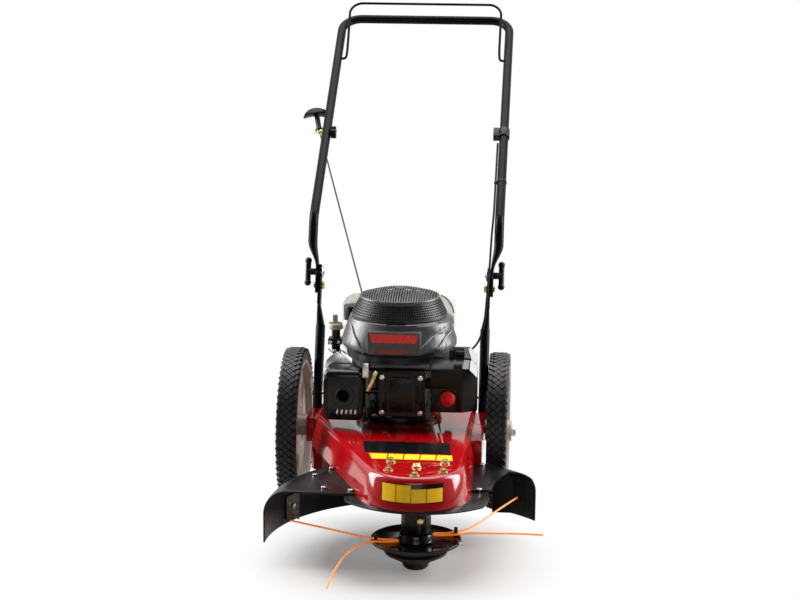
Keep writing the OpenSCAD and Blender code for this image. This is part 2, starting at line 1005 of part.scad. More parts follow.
module spindle_bolts() {
    color("goldenrod") {
        translate([0, 0, deck_top_z]) {
            deck_bolt(2 * bolt_head_h);
            translate([0, 0, -sheet_t - bolt_head_h])
                cylinder(r = bolt_head_r, h = bolt_head_h, $fn = 6);
        }
        for (a = spindle_bolt_angles)
            rotate([0, 0, a])
                translate([spindle_bolt_r, 0, deck_top_z])
                    deck_bolt(deck_h + plate_t + bolt_head_h);
        for (a = spindle_bolt_angles)
            rotate([0, 0, a])
                translate([spindle_bolt_r, 0, under_z - bolt_head_h])
                    cylinder(r = bolt_head_r, h = bolt_head_h, $fn = 6);
        rotate([0, 0, pinch_angle])
            translate([sleeve_r, 0, pinch_z])
                rotate([0, 90, 0])
                    hex_bolt(bolt_r, sleeve_r - housing_r, bolt_head_r, bolt_head_h);
    }
}

module column_sleeve() {
    color("darkslategray")
        difference() {
            translate([0, 0, sleeve_bottom_z])
                cylinder(r = sleeve_r, h = under_z - sleeve_bottom_z);
            translate([0, 0, housing_bottom_z])
                cylinder(r = housing_r, h = deck_h + deck_bottom_z);
            translate([0, 0, sleeve_bottom_z - over])
                cylinder(r = bearing_r, h = deck_h);
            rotate([0, 0, pinch_angle]) {
                translate([0, -slit_w / 2, sleeve_bottom_z - over])
                    cube([2 * sleeve_r, slit_w, slit_h]);
                translate([0, 0, pinch_z])
                    rotate([0, 90, 0])
                        cylinder(r = bolt_r + run_gap, h = 2 * sleeve_r);
            }
        }
}

// Outline of the belt loop round both pulleys
module belt_outline(extra) {
    hull() {
        circle(r = driven_r + fit_gap + extra);
        translate([crank_x, crank_y])
            circle(r = drive_r + fit_gap + extra);
    }
}

module drive_belt() {
    color("black")
        translate([0, 0, belt_z - belt_w / 2])
            linear_extrude(belt_w)
                difference() {
                    belt_outline(belt_t);
                    belt_outline(0);
                }
}

// Grooved pulley about z
module pulley(groove_r, bore_r) {
    lip_h = (pulley_h - belt_w) / 2 - fit_gap;
    translate([0, 0, belt_z - pulley_h / 2])
        difference() {
            union() {
                cylinder(r = groove_r, h = pulley_h);
                cylinder(r = groove_r + pulley_lip, h = lip_h);
                translate([0, 0, pulley_h - lip_h])
                    cylinder(r = groove_r + pulley_lip, h = lip_h);
            }
            translate([0, 0, -over])
                cylinder(r = bore_r, h = pulley_h + 2 * over);
        }
}

module drive_pulley() {
    color("silver") at_crank() pulley(drive_r, crank_r);
}

module driven_pulley() {
    color("silver") pulley(driven_r, spindle_r);
}

module crankshaft() {
    color("silver")
        at_crank()
            translate([0, 0, crank_bottom_z])
                cylinder(r = crank_r, h = crank_top_z - crank_bottom_z);
}

module flywheel() {
    color("gray")
        at_crank()
            difference() {
                union() {
                    translate([0, 0, fly_z0])
                        cylinder(r = fly_r, h = fly_z1 - fly_z0);
                    for (i = [0 : vanes - 1])
                        rotate([0, 0, i * 360 / vanes])
                            translate([vane_r / 2, -vane_t / 2, fly_z1 - over])
                                cube([vane_r / 2, vane_t, vane_h + over]);
                }
                translate([0, 0, crank_bottom_z])
                    cylinder(r = crank_r, h = crank_top_z - crank_bottom_z);
            }
}

module spindle_shaft() {
    color("silver")
        translate([0, 0, spindle_bottom_z])
            cylinder(r = spindle_r, h = spindle_top_z - spindle_bottom_z);
}

module head_plate() {
    lip = head_z - plate_top_z;
    low = head_z - 2 * pulley_lip;
    color("black") {
        rotate_extrude($fn = 96)
            polygon([[spindle_r, hub_top_z], [hub_r, hub_top_z], [hub_r + lip, plate_top_z],
                [head_r - 2 * lip, plate_top_z], [head_r - lip, head_z], [head_r, head_z],
                [head_r, head_z - 2 * lip], [head_r - pulley_h, head_z - 4 * lip],
                [head_r - pulley_h, low], [head_r - 2 * pulley_h, low - 2 * lip],
                [head_r - 2 * pulley_h, foot_top_z], [spindle_r, foot_top_z]]);
        for (a = [0, 180])
            rotate([0, 0, a])
                rotate([0, 0, atan2(right_line[4][1] - post_in, right_line[4][0])])
                    translate([head_r - post_in, 0, plate_top_z - lip])
                        cylinder(r = post_r, h = post_top_z - plate_top_z + lip);
    }
}

module glide_foot() {
    rim = head_r - pulley_h - post_r;
    color("saddlebrown")
        rotate_extrude($fn = 96)
            polygon([[0, 0], [foot_r, 0], [foot_r + post_r, post_r], [foot_r + 2 * post_r, spindle_bottom_z],
                [rim, foot_top_z - post_r], [rim, foot_top_z], [spindle_r, foot_top_z],
                [spindle_r, spindle_bottom_z], [0, spindle_bottom_z]]);
}

module line_left() {
    color("orange") cord(left_line, line_r, [0, 0, 1]);
}

module line_right() {
    color("orange") cord(right_line, line_r, [0, 0, 1]);
}

module crankcase() {
    color("gray")
        difference() {
            union() {
                at_crank()
                    translate([0, 0, deck_top_z]) {
                        cylinder(r = flange_r, h = flange_t);
                        cylinder(r = case_r, h = case_top_z - deck_top_z);
                    }
                at_crank()
                    translate([0, 0, case_top_z])
                        cylinder(r = shelf_r, h = shelf_t);
                translate([cyl_x - neck_w / 2, neck_y, cyl_z - fin_h / 2])
                    cube([neck_w, crank_y - neck_y, fin_h]);
                translate([crank_x - shelf_half_w, crank_y, tank_z0 - shelf_t])
                    cube([2 * shelf_half_w, shelf_back_y - crank_y, shelf_t]);
            }
            at_crank()
                translate([0, 0, crank_bottom_z])
                    cylinder(r = crank_r + run_gap, h = crank_top_z - crank_bottom_z);
            at_crank()
                for (a = engine_bolt_angles)
                    rotate([0, 0, a])
                        translate([engine_bolt_at, 0, deck_top_z - over])
                            cylinder(r = bolt_r + run_gap, h = flange_t + 2 * over);
        }
}

// Box centred on the cylinder's axis, between two distances from the front
module cylinder_box(w, h, y0, y1) {
    translate([cyl_x - w / 2, y0, cyl_z - h / 2])
        cube([w, y1 - y0, h]);
}

module cylinder_part() {
    color("darkgray")
        difference() {
            union() {
                cylinder_box(fin_w, 2 * head_half_h, head_front_y, head_back_y);
                translate([cyl_x, head_back_y, cyl_z])
                    rotate([-90, 0, 0])
                        cylinder(r = cyl_r, h = neck_y - head_back_y);
                for (i = [0 : fins - 1])
                    cylinder_box(fin_w, fin_h, head_back_y + (i + 0.6) * fin_gap,
                        head_back_y + (i + 0.6) * fin_gap + fin_t);
            }
            rocker_bolt_spots()
                cylinder(r = guard_bolt_r + run_gap, h = 4 * (head_front_y - rocker_bolt_y), center = true);
            at_crank()
                translate([0, 0, deck_top_z])
                    cylinder(r = case_r, h = deck_top_z);
        }
}

module rocker_bolt_spots() {
    for (sx = [-1, 1])
        for (sz = [-1, 1])
            translate([cyl_x + sx * rocker_bolt_x, rocker_bolt_y, cyl_z + sz * rocker_bolt_z])
                rotate([90, 0, 0])
                    children();
}

module rocker_cover() {
    color("dimgray")
        difference() {
            union() {
                cylinder_box(cover_w, cover_h, head_front_y - cover_flange_t, head_front_y);
                cylinder_box(cover_w - cover_step, cover_h - cover_step, cover_y,
                    head_front_y - cover_flange_t);
                cylinder_box(panel_w, panel_h, panel_y, cover_y);
            }
            rocker_bolt_spots()
                cylinder(r = guard_bolt_r + run_gap, h = 3 * (head_front_y - rocker_bolt_y), center = true);
        }
}

module engine_bolts() {
    color("silver") {
        rocker_bolt_spots()
            hex_bolt(guard_bolt_r, head_front_y - rocker_bolt_y + bolt_head_h, guard_head_r, guard_head_h);
        at_crank()
            for (a = engine_bolt_angles)
                rotate([0, 0, a])
                    translate([engine_bolt_at, 0, deck_top_z + flange_t]) {
                        hex_bolt(bolt_r, flange_t + sheet_t + bolt_head_h, bolt_head_r, bolt_head_h);
                        translate([0, 0, -flange_t - sheet_t - bolt_head_h])
                            cylinder(r = bolt_head_r, h = bolt_head_h, $fn = 6);
                    }
    }
}

// Rounded can of the muffler, moved inward by inset
module muffler_can(inset) {
    hull()
        for (x = [muffler_x0 + muffler_edge_r, muffler_x1 - muffler_edge_r])
            for (z = [muffler_z0 + muffler_edge_r, muffler_z1 - muffler_edge_r])
                translate([x, muffler_y0 + inset, z])
                    rotate([-90, 0, 0])
                        cylinder(r = muffler_edge_r - inset, h = muffler_y1 - muffler_y0 - 2 * inset, $fn = 32);
}

module muffler() {
    color("black") {
        difference() {
            muffler_can(0);
            muffler_can(muffler_wall);
            translate([outlet_x, muffler_y0 - over, outlet_z])
                rotate([-90, 0, 0])
                    cylinder(r = outlet_r, h = muffler_wall + 2 * over);
        }
        translate([muffler_x1 - muffler_wall, pipe_y + pipe_r / 2, cyl_z])
            rotate([0, 90, 0])
                cylinder(r = pipe_r / 2, h = cyl_x - fin_w / 2 - muffler_x1 + muffler_wall);
    }
}

module muffler_strap() {
    color("gold")
        translate(strap_top)
            rotate([0, -strap_angle, 0])
                translate([-strap_w / 2, 0, -strap_l])
                    cube([strap_w, strap_t, strap_l]);
}

module spark_plug() {
    color("black") {
        rod(boot_a, boot_b, boot_r);
        translate([cyl_x - fin_w / 2 - plug_l, plug_y, boot_a.z])
            rotate([0, 90, 0])
                cylinder(r = plug_r, h = plug_l);
        cord(lead, lead_r, [1, 0, 0]);
    }
}

module carburettor() {
    color("lightgray")
        difference() {
            union() {
                translate([carb_x0, filter_y1 + base_t, carb_z0])
                    cube([carb_x1 - carb_x0, carb_y1 - filter_y1 - base_t, carb_z1 - carb_z0]);
                translate([bowl_x, bowl_y, bowl_z])
                    cylinder(r = bowl_r, h = carb_z0 - bowl_z + over);
                translate([cyl_x + neck_w / 2, intake_y, cyl_z])
                    rotate([0, 90, 0])
                        cylinder(r = intake_r, h = carb_x0 - cyl_x - neck_w / 2 + over);
            }
            at_crank()
                translate([0, 0, deck_top_z])
                    cylinder(r = case_r, h = deck_top_z);
        }
}

module filter_base() {
    color("dimgray") {
        translate([filter_x0 + filter_wall, filter_y1, filter_z0])
            cube([filter_x1 - filter_x0 - 2 * filter_wall, base_t, filter_z1 - filter_z0]);
        translate([ledge_x, 0, 0])
            rotate([90, 0, 90])
                linear_extrude(filter_x1 - filter_wall - ledge_x)
                    polygon([[filter_y1, filter_z1 - over], [ledge_y, filter_z1 - over], [ledge_y, ledge_z],
                        [filter_y1 + base_t, ledge_z], [filter_y1, filter_z1 + over]]);
        difference() {
            translate([filter_x0, filter_y0, filter_z0])
                cube([housing_x - fit_gap - filter_x0, filter_y1 - filter_y0 + over,
                    housing_z - fit_gap - filter_z0]);
            translate([primer_x, filter_y0 - over, primer_z])
                rotate([-90, 0, 0])
                    cylinder(r = primer_r + fit_gap, h = filter_y1 - filter_y0 - over);
        }
    }
}

// Form of the filter cover, its walls moved inward by inset and its back at the given depth
module filter_block(inset, back) {
    fall = (filter_z1 - slope_z) / (slope_y - filter_y0);
    drop = inset * norm([1, fall]);
    far = filter_y1 - filter_y0;
    difference() {
        translate([0, 0, filter_z0 + inset])
            linear_extrude(filter_z1 - filter_z0 - fit_gap - 2 * inset)
                polygon([[filter_x0 + inset, back], [filter_x0 + inset, filter_y0 + inset],
                    [filter_cut_x - inset / 2, filter_y0 + inset],
                    [filter_x1 - inset, filter_cut_y + inset / 2], [filter_x1 - inset, back]]);
        translate([filter_x0 - over, filter_y0 - over, filter_z0 - over])
            cube([housing_x + inset - filter_x0 + over, back - filter_y0 + 2 * over,
                housing_z + inset - filter_z0 + over]);
        translate([filter_x0 - over, 0, 0])
            rotate([90, 0, 90])
                linear_extrude(filter_x1 - filter_x0 + 2 * over)
                    polygon([[filter_y0 - far, slope_z - drop - fall * far],
                        [filter_y0 + far, slope_z - drop + fall * far],
                        [filter_y0 - far, slope_z - drop + fall * far]]);
    }
}

module filter_cover() {
    color("gray")
        difference() {
            filter_block(0, filter_y1 - fit_gap);
            filter_block(filter_wall, filter_y1 + filter_wall);
        }
}

module primer_bulb() {
    color("firebrick")
        translate([primer_x, primer_back_y, primer_z])
            rotate([90, 0, 0])
                intersection() {
                    cylinder(r = primer_r, h = primer_back_y - primer_y);
                    translate([0, 0, primer_back_y - primer_y - primer_dome_r])
                        union() {
                            sphere(r = primer_dome_r);
                            translate([0, 0, -primer_back_y])
                                cylinder(r = primer_r, h = primer_back_y);
                        }
                }
}

module fuel_tank() {
    color("whitesmoke") {
        difference() {
            hull()
                for (x = [tank_x0 + tank_edge_r, tank_x1 - tank_edge_r])
                    for (y = [tank_y0 + tank_edge_r, tank_y1 - tank_edge_r])
                        translate([x, y, tank_z0 + slice_t])
                            cylinder(r = tank_edge_r, h = tank_z1 - tank_z0 - slice_t, $fn = 32);
            at_crank()
                translate([0, 0, deck_top_z])
                    cylinder(r = tank_gap_r, h = deck_top_z);
        }
        hull() {
            for (x = [tank_wide_x0 + tank_round_r, tank_wide_x1 - tank_round_r])
                translate([x, tank_back_y, tank_top_z - tank_round_r])
                    rotate([-90, 0, 0])
                        cylinder(r = tank_round_r, h = tank_back_y1 - tank_back_y, $fn = 48);
            translate([tank_wide_x0, tank_back_y, tank_z0])
                cube([tank_wide_x1 - tank_wide_x0, tank_back_y1 - tank_back_y, tank_edge_r]);
        }
        translate([cap_x, cap_y, tank_z1 - over])
            cylinder(r = neck_r, h = cap_z - tank_z1 + pulley_h);
    }
}

module fuel_cap() {
    color("black")
        translate([cap_x, cap_y, cap_z])
            difference() {
                cylinder(r = cap_r, h = cap_top_z - cap_z);
                translate([0, 0, -over])
                    cylinder(r = neck_r + fit_gap, h = pulley_h + over + fit_gap);
            }
}

module oil_tube() {
    top = oil_path[5];
    color("black")
        difference() {
            cord(oil_path, oil_r, [0, 1, 0], 16);
            at_crank()
                translate([0, 0, deck_top_z])
                    cylinder(r = case_r, h = deck_top_z);
            translate([top.x, top.y, top.z - oil_bore_l])
                cylinder(r = oil_bore_r, h = oil_bore_l + over);
        }
}

module dipstick() {
    top = oil_path[5];
    color("gray")
        translate([top.x, top.y, top.z + fit_gap]) {
            cylinder(r = dip_cap_r, h = dip_cap_t);
            translate([0, 0, -dip_l])
                cylinder(r = dip_r, h = dip_l + over);
            translate([-dip_tab.y / 2, -dip_tab.x / 2, dip_cap_t - over])
                cube([dip_tab.y, dip_tab.x, dip_tab.z + over]);
        }
}

// Outer profile of the shroud, moved inward by inset
module shroud_profile(inset) {
    low_r = shroud_r - shroud_low_in - inset;
    polygon([[0, shroud_z0 - over * inset], [shroud_foot_r - inset, shroud_z0 - over * inset],
        [shroud_foot_r - inset, shroud_chin_z], [low_r - shroud_t / 2, shroud_chin_z + shroud_t],
        [low_r, shroud_low_z], [shroud_r - inset, shroud_wide_z],
        [shroud_r - inset, shroud_wide_z + 4 * shroud_t],
        [shroud_neck_r + 2 * shroud_t - inset, shroud_top_z - shroud_t],
        [shroud_neck_r - inset, shroud_top_z], [shroud_neck_r - inset, shroud_top_z + over * inset],
        [0, shroud_top_z + over * inset]]);
}

// Raised shoulder of the shroud, a little to the right of the crank
module shroud_shoulder() {
    r = shroud_shoulder_r;
    round_r = shroud_shoulder_round;
    at_crank()
        translate([shroud_shoulder_dx, 0, 0])
            rotate_extrude($fn = 96)
                polygon([[0, shroud_wide_z + shroud_t], [r, shroud_wide_z + shroud_t],
                    [r, shroud_top_z - shroud_t - round_r], [r - round_r / 4, shroud_top_z - round_r / 2],
                    [r - round_r, shroud_top_z - shroud_t / 4], [0, shroud_top_z - shroud_t / 4]]);
}

module blower_shroud() {
    color("dimgray")
        difference() {
            union() {
                at_crank()
                    rotate_extrude($fn = 96)
                        shroud_profile(0);
                shroud_shoulder();
                translate([panel_x0, panel_front_y, panel_z0])
                    cube([panel_x1 - panel_x0, panel_back_y - panel_front_y, panel_z1 - panel_z0]);
                translate([lip_x0, lip_y, lip_z])
                    cube([lip_x1 - lip_x0, panel_back_y - lip_y, lip_t]);
            }
            at_crank()
                rotate_extrude($fn = 96)
                    shroud_profile(shroud_t);
        }
}

// Outer profile of the starter cover, moved inward by inset
module recoil_profile(inset) {
    polygon([[0, shroud_top_z - over * inset], [shroud_neck_r - inset, shroud_top_z - over * inset],
        [shroud_neck_r - inset, shroud_top_z + 2 * grille_t], [grille_r - inset, grille_z - inset],
        [grille_r - grille_rise - inset, grille_z + grille_rise - inset],
        [0, grille_z + grille_rise + over - inset]]);
}

module recoil_cover() {
    slits = floor(grille_slit_r / slit_gap);
    color("dimgray")
        difference() {
            union() {
                at_crank()
                    rotate_extrude($fn = 96)
                        recoil_profile(0);
                rod(bush_in, rope_start, bush_r);
            }
            at_crank()
                rotate_extrude($fn = 96)
                    recoil_profile(grille_t);
            at_crank()
                intersection() {
                    translate([0, 0, grille_z - grille_t])
                        difference() {
                            cylinder(r = grille_slit_r, h = 4 * grille_rise);
                            cylinder(r = badge_r, h = 4 * grille_rise);
                        }
                    union()
                        for (i = [-slits : slits])
                            translate([i * slit_gap - grille_slit_w / 2, -grille_r, grille_z - grille_t])
                                cube([grille_slit_w, 2 * grille_r, 4 * grille_rise]);
                }
        }
}

module starter_rope() {
    color("black") rod(rope_start, eye_point - rope_end_gap * rope_dir, rope_r);
}

module brake_cable_lower() {
    color("black") cord(cable_low, cable_r, [1, 0, 0]);
}

module brake_cable_upper() {
    color("black") cord(cable_high, cable_r, [1, 0, 0]);
}

// Bend and lower end of the upper handle's right leg
module upper_bend() {
    in_handle_plane()
        translate([handle_half_w, -leg_l, -leg_bend_r])
            rotate([90, 0, 90])
                rotate([0, 0, 90])
                    rotate_extrude(angle = leg_turn)
                        translate([leg_bend_r, 0])
                            bar_section(tube_r, tube_wall);
    at_pivot(handle_half_w)
        translate([0, 0, upper_blend_l])
            cylinder(r = tube_r - slice_t, h = bend_l - leg_bend - upper_blend_l + over);
}

// Flattened foot of the upper handle's right leg
module upper_foot() {
    at_pivot(upper_flat_h)
        tube_flat(-upper_end, upper_flat_l, 0);
    hull() {
        at_pivot(upper_flat_h)
            tube_flat(upper_flat_l - lap - slice_t, upper_flat_l - lap, lap_in);
        at_pivot(handle_half_w)
            translate([0, 0, upper_blend_l + lap])
                cylinder(r = tube_r - lap_in, h = slice_t, $fn = 32);
    }
}

module upper_handle() {
    color("black")
        on_right()
            difference() {
                union() {
                    in_handle_plane()
                        u_bar(handle_half_w, corner_r, leg_l, tube_r, tube_wall);
                    for (m = [0, 1])
                        mirror([m, 0, 0]) {
                            upper_bend();
                            upper_foot();
                        }
                }
                for (m = [0, 1])
                    mirror([m, 0, 0]) {
                        for (l = [0, knob_l])
                            at_pivot(upper_flat_h)
                                translate([0, 0, l])
                                    rotate([0, 90, 0])
                                        cylinder(r = pivot_bolt_r + run_gap, h = 2 * flat_t, center = true);
                        in_handle_plane()
                            translate([bail_half_w, -bail_at, 0])
                                rotate([0, 90, 0])
                                    cylinder(r = bail_r + run_gap, h = handle_half_w - bail_half_w);
                    }
                mirror([1, 0, 0])
                    in_handle_plane()
                        translate([0, -upper_l + guide_at, 0])
                            rotate([0, 90, 0])
                                cylinder(r = bolt_r + run_gap, h = 2 * handle_half_w);
            }
}

module knob_bolts() {
    color("goldenrod")
        on_both()
            at_pivot(0)
                translate([0, 0, knob_l])
                    rotate([0, 90, 0]) {
                        translate([0, 0, flat_in_h - fit_gap - saddle_t])
                            cylinder(r = saddle_r, h = saddle_t);
                        translate([0, 0, flat_in_h - fit_gap - 2 * saddle_t])
                            cylinder(r = bolt_head_r, h = saddle_t);
                        translate([0, 0, flat_in_h - fit_gap])
                            cylinder(r = bolt_r, h = knob_bolt_end_h - flat_in_h + fit_gap);
                    }
}

// Wing knob of the right half
module wing_knob() {
    at_pivot(0)
        translate([0, 0, knob_l])
            difference() {
                union() {
                    translate([upper_out_h + fit_gap, 0, 0])
                        rotate([0, 90, 0])
                            cylinder(r = knob_stem_r, h = knob_bar_h - upper_out_h - fit_gap);
                    translate([knob_bar_h, 0, -knob_bar_l])
                        cylinder(r = knob_bar_r, h = 2 * knob_bar_l);
                    for (s = [-1, 1])
                        translate([knob_bar_h, 0, s * knob_bar_l])
                            sphere(r = knob_end_r);
                }
                rotate([0, 90, 0])
                    cylinder(r = bolt_r + run_gap, h = knob_bolt_end_h + over);
            }
}

module wing_knob_left() {
    color("dimgray") on_left() wing_knob();
}

module wing_knob_right() {
    color("dimgray") on_right() wing_knob();
}

// Frame of the rope guide's bolt: z outward through the left leg
module at_guide() {
    on_left()
        in_handle_plane()
            translate([0, -upper_l + guide_at, 0])
                rotate([0, 90, 0])
                    children();
}

module rope_guide() {
    color("dimgray") {
        at_guide() {
            translate([0, 0, handle_half_w - tube_r - star_t + star_lobe_r])
                cylinder(r = bolt_r, h = 2 * tube_r + star_t - star_lobe_r);
            translate([0, 0, handle_half_w + tube_r])
                cylinder(r = bolt_head_r, h = bolt_head_h);
        }
        rod(guide_root, eye_point + eye_r * guide_side / norm(guide_side), guide_wire_r - fit_gap);
        translate(eye_point)
            rotate([0, acos(grip_dir.z), atan2(grip_dir.y, grip_dir.x)])
                rotate_extrude()
                    translate([eye_r, 0])
                        circle(r = guide_wire_r);
    }
}

// Root of the guide's wire on the bolt's head
guide_root = [centre_x - handle_half_w - tube_r - bolt_head_h / 2,
    bar_y - (upper_l - guide_at) * cos(incline), handle_z - (upper_l - guide_at) * sin(incline)];
guide_side = (guide_root - eye_point) - ((guide_root - eye_point) * grip_dir) * grip_dir;

module star_knob() {
    color("black")
        at_guide()
            translate([0, 0, handle_half_w - tube_r - fit_gap - star_t])
                difference() {
                    union() {
                        cylinder(r = star_r - star_lobe_r, h = star_t);
                        for (i = [0 : star_lobes - 1])
                            rotate([0, 0, i * 360 / star_lobes])
                                translate([star_r - star_lobe_r, 0, 0])
                                    cylinder(r = star_lobe_r, h = star_t);
                    }
                    translate([0, 0, star_lobe_r])
                        cylinder(r = bolt_r + run_gap, h = star_t);
                }
}

// Crescent bar of the grip, drawn flat, its top at the origin
module grip_crescent() {
    intersection() {
        difference() {
            translate([0, -grip_top_r])
                circle(r = grip_top_r);
            translate([0, -grip_mid - grip_under_r])
                circle(r = grip_under_r);
        }
        translate([-grip_half_w, -grip_top_r])
            square([2 * grip_half_w, 2 * grip_top_r]);
    }
}

module starter_grip() {
    color("black")
        translate(eye_point)
            rotate([0, acos(grip_dir.z), atan2(grip_dir.y, grip_dir.x)])
                rotate([0, 0, 90]) {
                    translate([0, 0, guide_wire_r + fit_gap])
                        cylinder(r = grip_flange_r, h = grip_flange_t);
                    cylinder(r = grip_nub_r, h = guide_wire_r + grip_flange_t);
                    translate([0, 0, guide_wire_r + over])
                        cylinder(r = grip_stem_r, h = grip_h - grip_mid / 2);
                    translate([0, 0, guide_wire_r + grip_h])
                        rotate([90, 0, 0])
                            linear_extrude(grip_depth, center = true)
                                grip_crescent();
                }
}

module cable_clip() {
    color("dimgray")
        on_right()
            in_handle_plane()
                translate([handle_half_w, -upper_l + clip_at, 0])
                    difference() {
                        union() {
                            rotate([90, 0, 0])
                                cylinder(r = clip_r, h = clip_l, center = true);
                            translate([-clip_r - clip_box.x + tube_wall, -clip_box.z / 2, -clip_box.y / 2])
                                cube([clip_box.x, clip_box.z, clip_box.y]);
                        }
                        rotate([90, 0, 0])
                            cylinder(r = tube_r, h = 2 * clip_l, center = true);
                    }
}

module bail() {
    color("black")
        on_right()
            translate([0, bar_y - bail_at * cos(incline), handle_z - bail_at * sin(incline)])
                rotate([incline + bail_open, 0, 0]) {
                    translate([0, bail_l, 0])
                        u_bar(bail_half_w, bail_corner_r, bail_l, bail_r, bail_r);
                    for (m = [0, 1])
                        mirror([m, 0, 0]) {
                            translate([bail_half_w, 0, 0])
                                sphere(r = bail_r);
                            translate([bail_half_w, 0, 0])
                                rotate([0, 90, 0])
                                    cylinder(r = bail_r, h = bail_end_h - bail_half_w);
                        }
                }
}

deck_shell();
under_plate();
axle_brackets();
axles();
axle_nuts();
lower_tube_left();
lower_tube_right();
handle_bolts();
guard_left();
guard_right();
guard_bolts();
line_cutter();
spindle_carrier();
spindle_bearings();
spindle_bolts();
column_sleeve();
drive_belt();
crankcase();
cylinder_part();  // cylinder
rocker_cover();
engine_bolts();
muffler();
muffler_strap();
spark_plug();
carburettor();
filter_base();
fuel_tank();
oil_tube();
blower_shroud();
recoil_cover();
brake_cable_lower();
starter_rope();
tyre_left();
hub_left();
tyre_right();
hub_right();
crankshaft();
drive_pulley();
flywheel();
spindle_shaft();
driven_pulley();
head_plate();
glide_foot();
line_left();
line_right();
upper_handle();
knob_bolts();
rope_guide();
cable_clip();
brake_cable_upper();
bail();
starter_grip();
wing_knob_left();
wing_knob_right();
star_knob();
primer_bulb();
fuel_cap();
dipstick();
filter_cover();
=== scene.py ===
"""Looks of a wheeled string trimmer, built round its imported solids.

Points are in millimetres until they are used.
"""
import json
import math

import bpy
from mathutils import Matrix, Vector

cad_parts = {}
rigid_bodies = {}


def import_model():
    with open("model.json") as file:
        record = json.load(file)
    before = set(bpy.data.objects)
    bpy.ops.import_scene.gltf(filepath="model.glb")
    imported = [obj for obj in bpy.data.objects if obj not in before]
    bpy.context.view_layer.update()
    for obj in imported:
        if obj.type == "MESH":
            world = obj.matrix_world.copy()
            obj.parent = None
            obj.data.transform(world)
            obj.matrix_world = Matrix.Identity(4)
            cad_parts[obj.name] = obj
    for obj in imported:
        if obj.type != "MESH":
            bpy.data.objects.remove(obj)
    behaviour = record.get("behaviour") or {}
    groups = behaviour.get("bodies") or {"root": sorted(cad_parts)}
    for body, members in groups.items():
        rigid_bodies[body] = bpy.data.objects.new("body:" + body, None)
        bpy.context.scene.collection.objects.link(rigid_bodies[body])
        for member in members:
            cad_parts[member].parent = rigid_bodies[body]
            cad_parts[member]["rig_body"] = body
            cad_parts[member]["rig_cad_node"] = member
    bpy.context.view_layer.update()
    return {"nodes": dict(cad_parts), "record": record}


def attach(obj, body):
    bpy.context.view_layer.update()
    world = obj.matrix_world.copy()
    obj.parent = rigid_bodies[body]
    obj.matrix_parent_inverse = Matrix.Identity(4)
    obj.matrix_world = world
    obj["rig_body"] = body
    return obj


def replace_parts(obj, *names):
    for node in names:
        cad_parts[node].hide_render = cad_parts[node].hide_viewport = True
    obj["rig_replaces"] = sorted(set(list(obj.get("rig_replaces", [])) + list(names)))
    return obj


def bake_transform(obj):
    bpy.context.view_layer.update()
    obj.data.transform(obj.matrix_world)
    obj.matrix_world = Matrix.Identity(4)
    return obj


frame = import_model()
solids = frame["nodes"]
body_of = {n: b for b, ns in frame["record"]["behaviour"]["bodies"].items() for n in ns}
slot_of = {s["node"]: s["material_slot"] for s in frame["record"]["subparts"]}
MM = 0.001


def at(*point):
    """A point in millimetres as a vector in metres."""
    return Vector(point) * MM


# Camera at the photograph's viewing angle
CAMERA_AT = (262, -3849, 1376)
YAW, PITCH, ROLL = (math.radians(a) for a in (4.45, 11.83, 0.5))
FOCUS_PX, FRAME_PX, SENSOR_MM = 1947.0, 800.0, 36.0
ahead = Vector((-math.sin(YAW) * math.cos(PITCH), math.cos(YAW) * math.cos(PITCH), -math.sin(PITCH)))
level = ahead.cross(Vector((0, 0, 1))).normalized()
above = level.cross(ahead)
right = level * math.cos(ROLL) + above * math.sin(ROLL)
above = right.cross(ahead)
bpy.ops.object.camera_add()
camera = bpy.context.object
facing = Matrix((right, above, -ahead)).transposed().to_4x4()
camera.matrix_world = Matrix.Translation(at(*CAMERA_AT)) @ facing
camera.data.sensor_width = SENSOR_MM
camera.data.lens = FOCUS_PX / FRAME_PX * SENSOR_MM
bpy.context.scene.camera = camera


# Colours and finishes
def tint(code):
    """An sRGB hex colour as linear red, green, blue and alpha."""
    shares = [int(code[i:i + 2], 16) / 255 for i in (1, 3, 5)]
    return [c / 12.92 if c <= 0.04045 else ((c + 0.055) / 1.055) ** 2.4 for c in shares] + [1.0]


def add(tree, kind, values=None, links=None, **settings):
    """One node with its settings, its input values and the sockets that feed it."""
    made = tree.nodes.new(kind)
    for key, value in settings.items():
        setattr(made, key, value)
    for key, value in (values or {}).items():
        made.inputs[key].default_value = value
    for key, socket in (links or {}).items():
        tree.links.new(socket, made.inputs[key])
    return made


# Where a drift changes from one colour to the other, and the part of it that roughness follows
COLOUR_STOPS = (0.36, 0.66)
DRIFT_LOW, DRIFT_HIGH = 0.3, 0.7


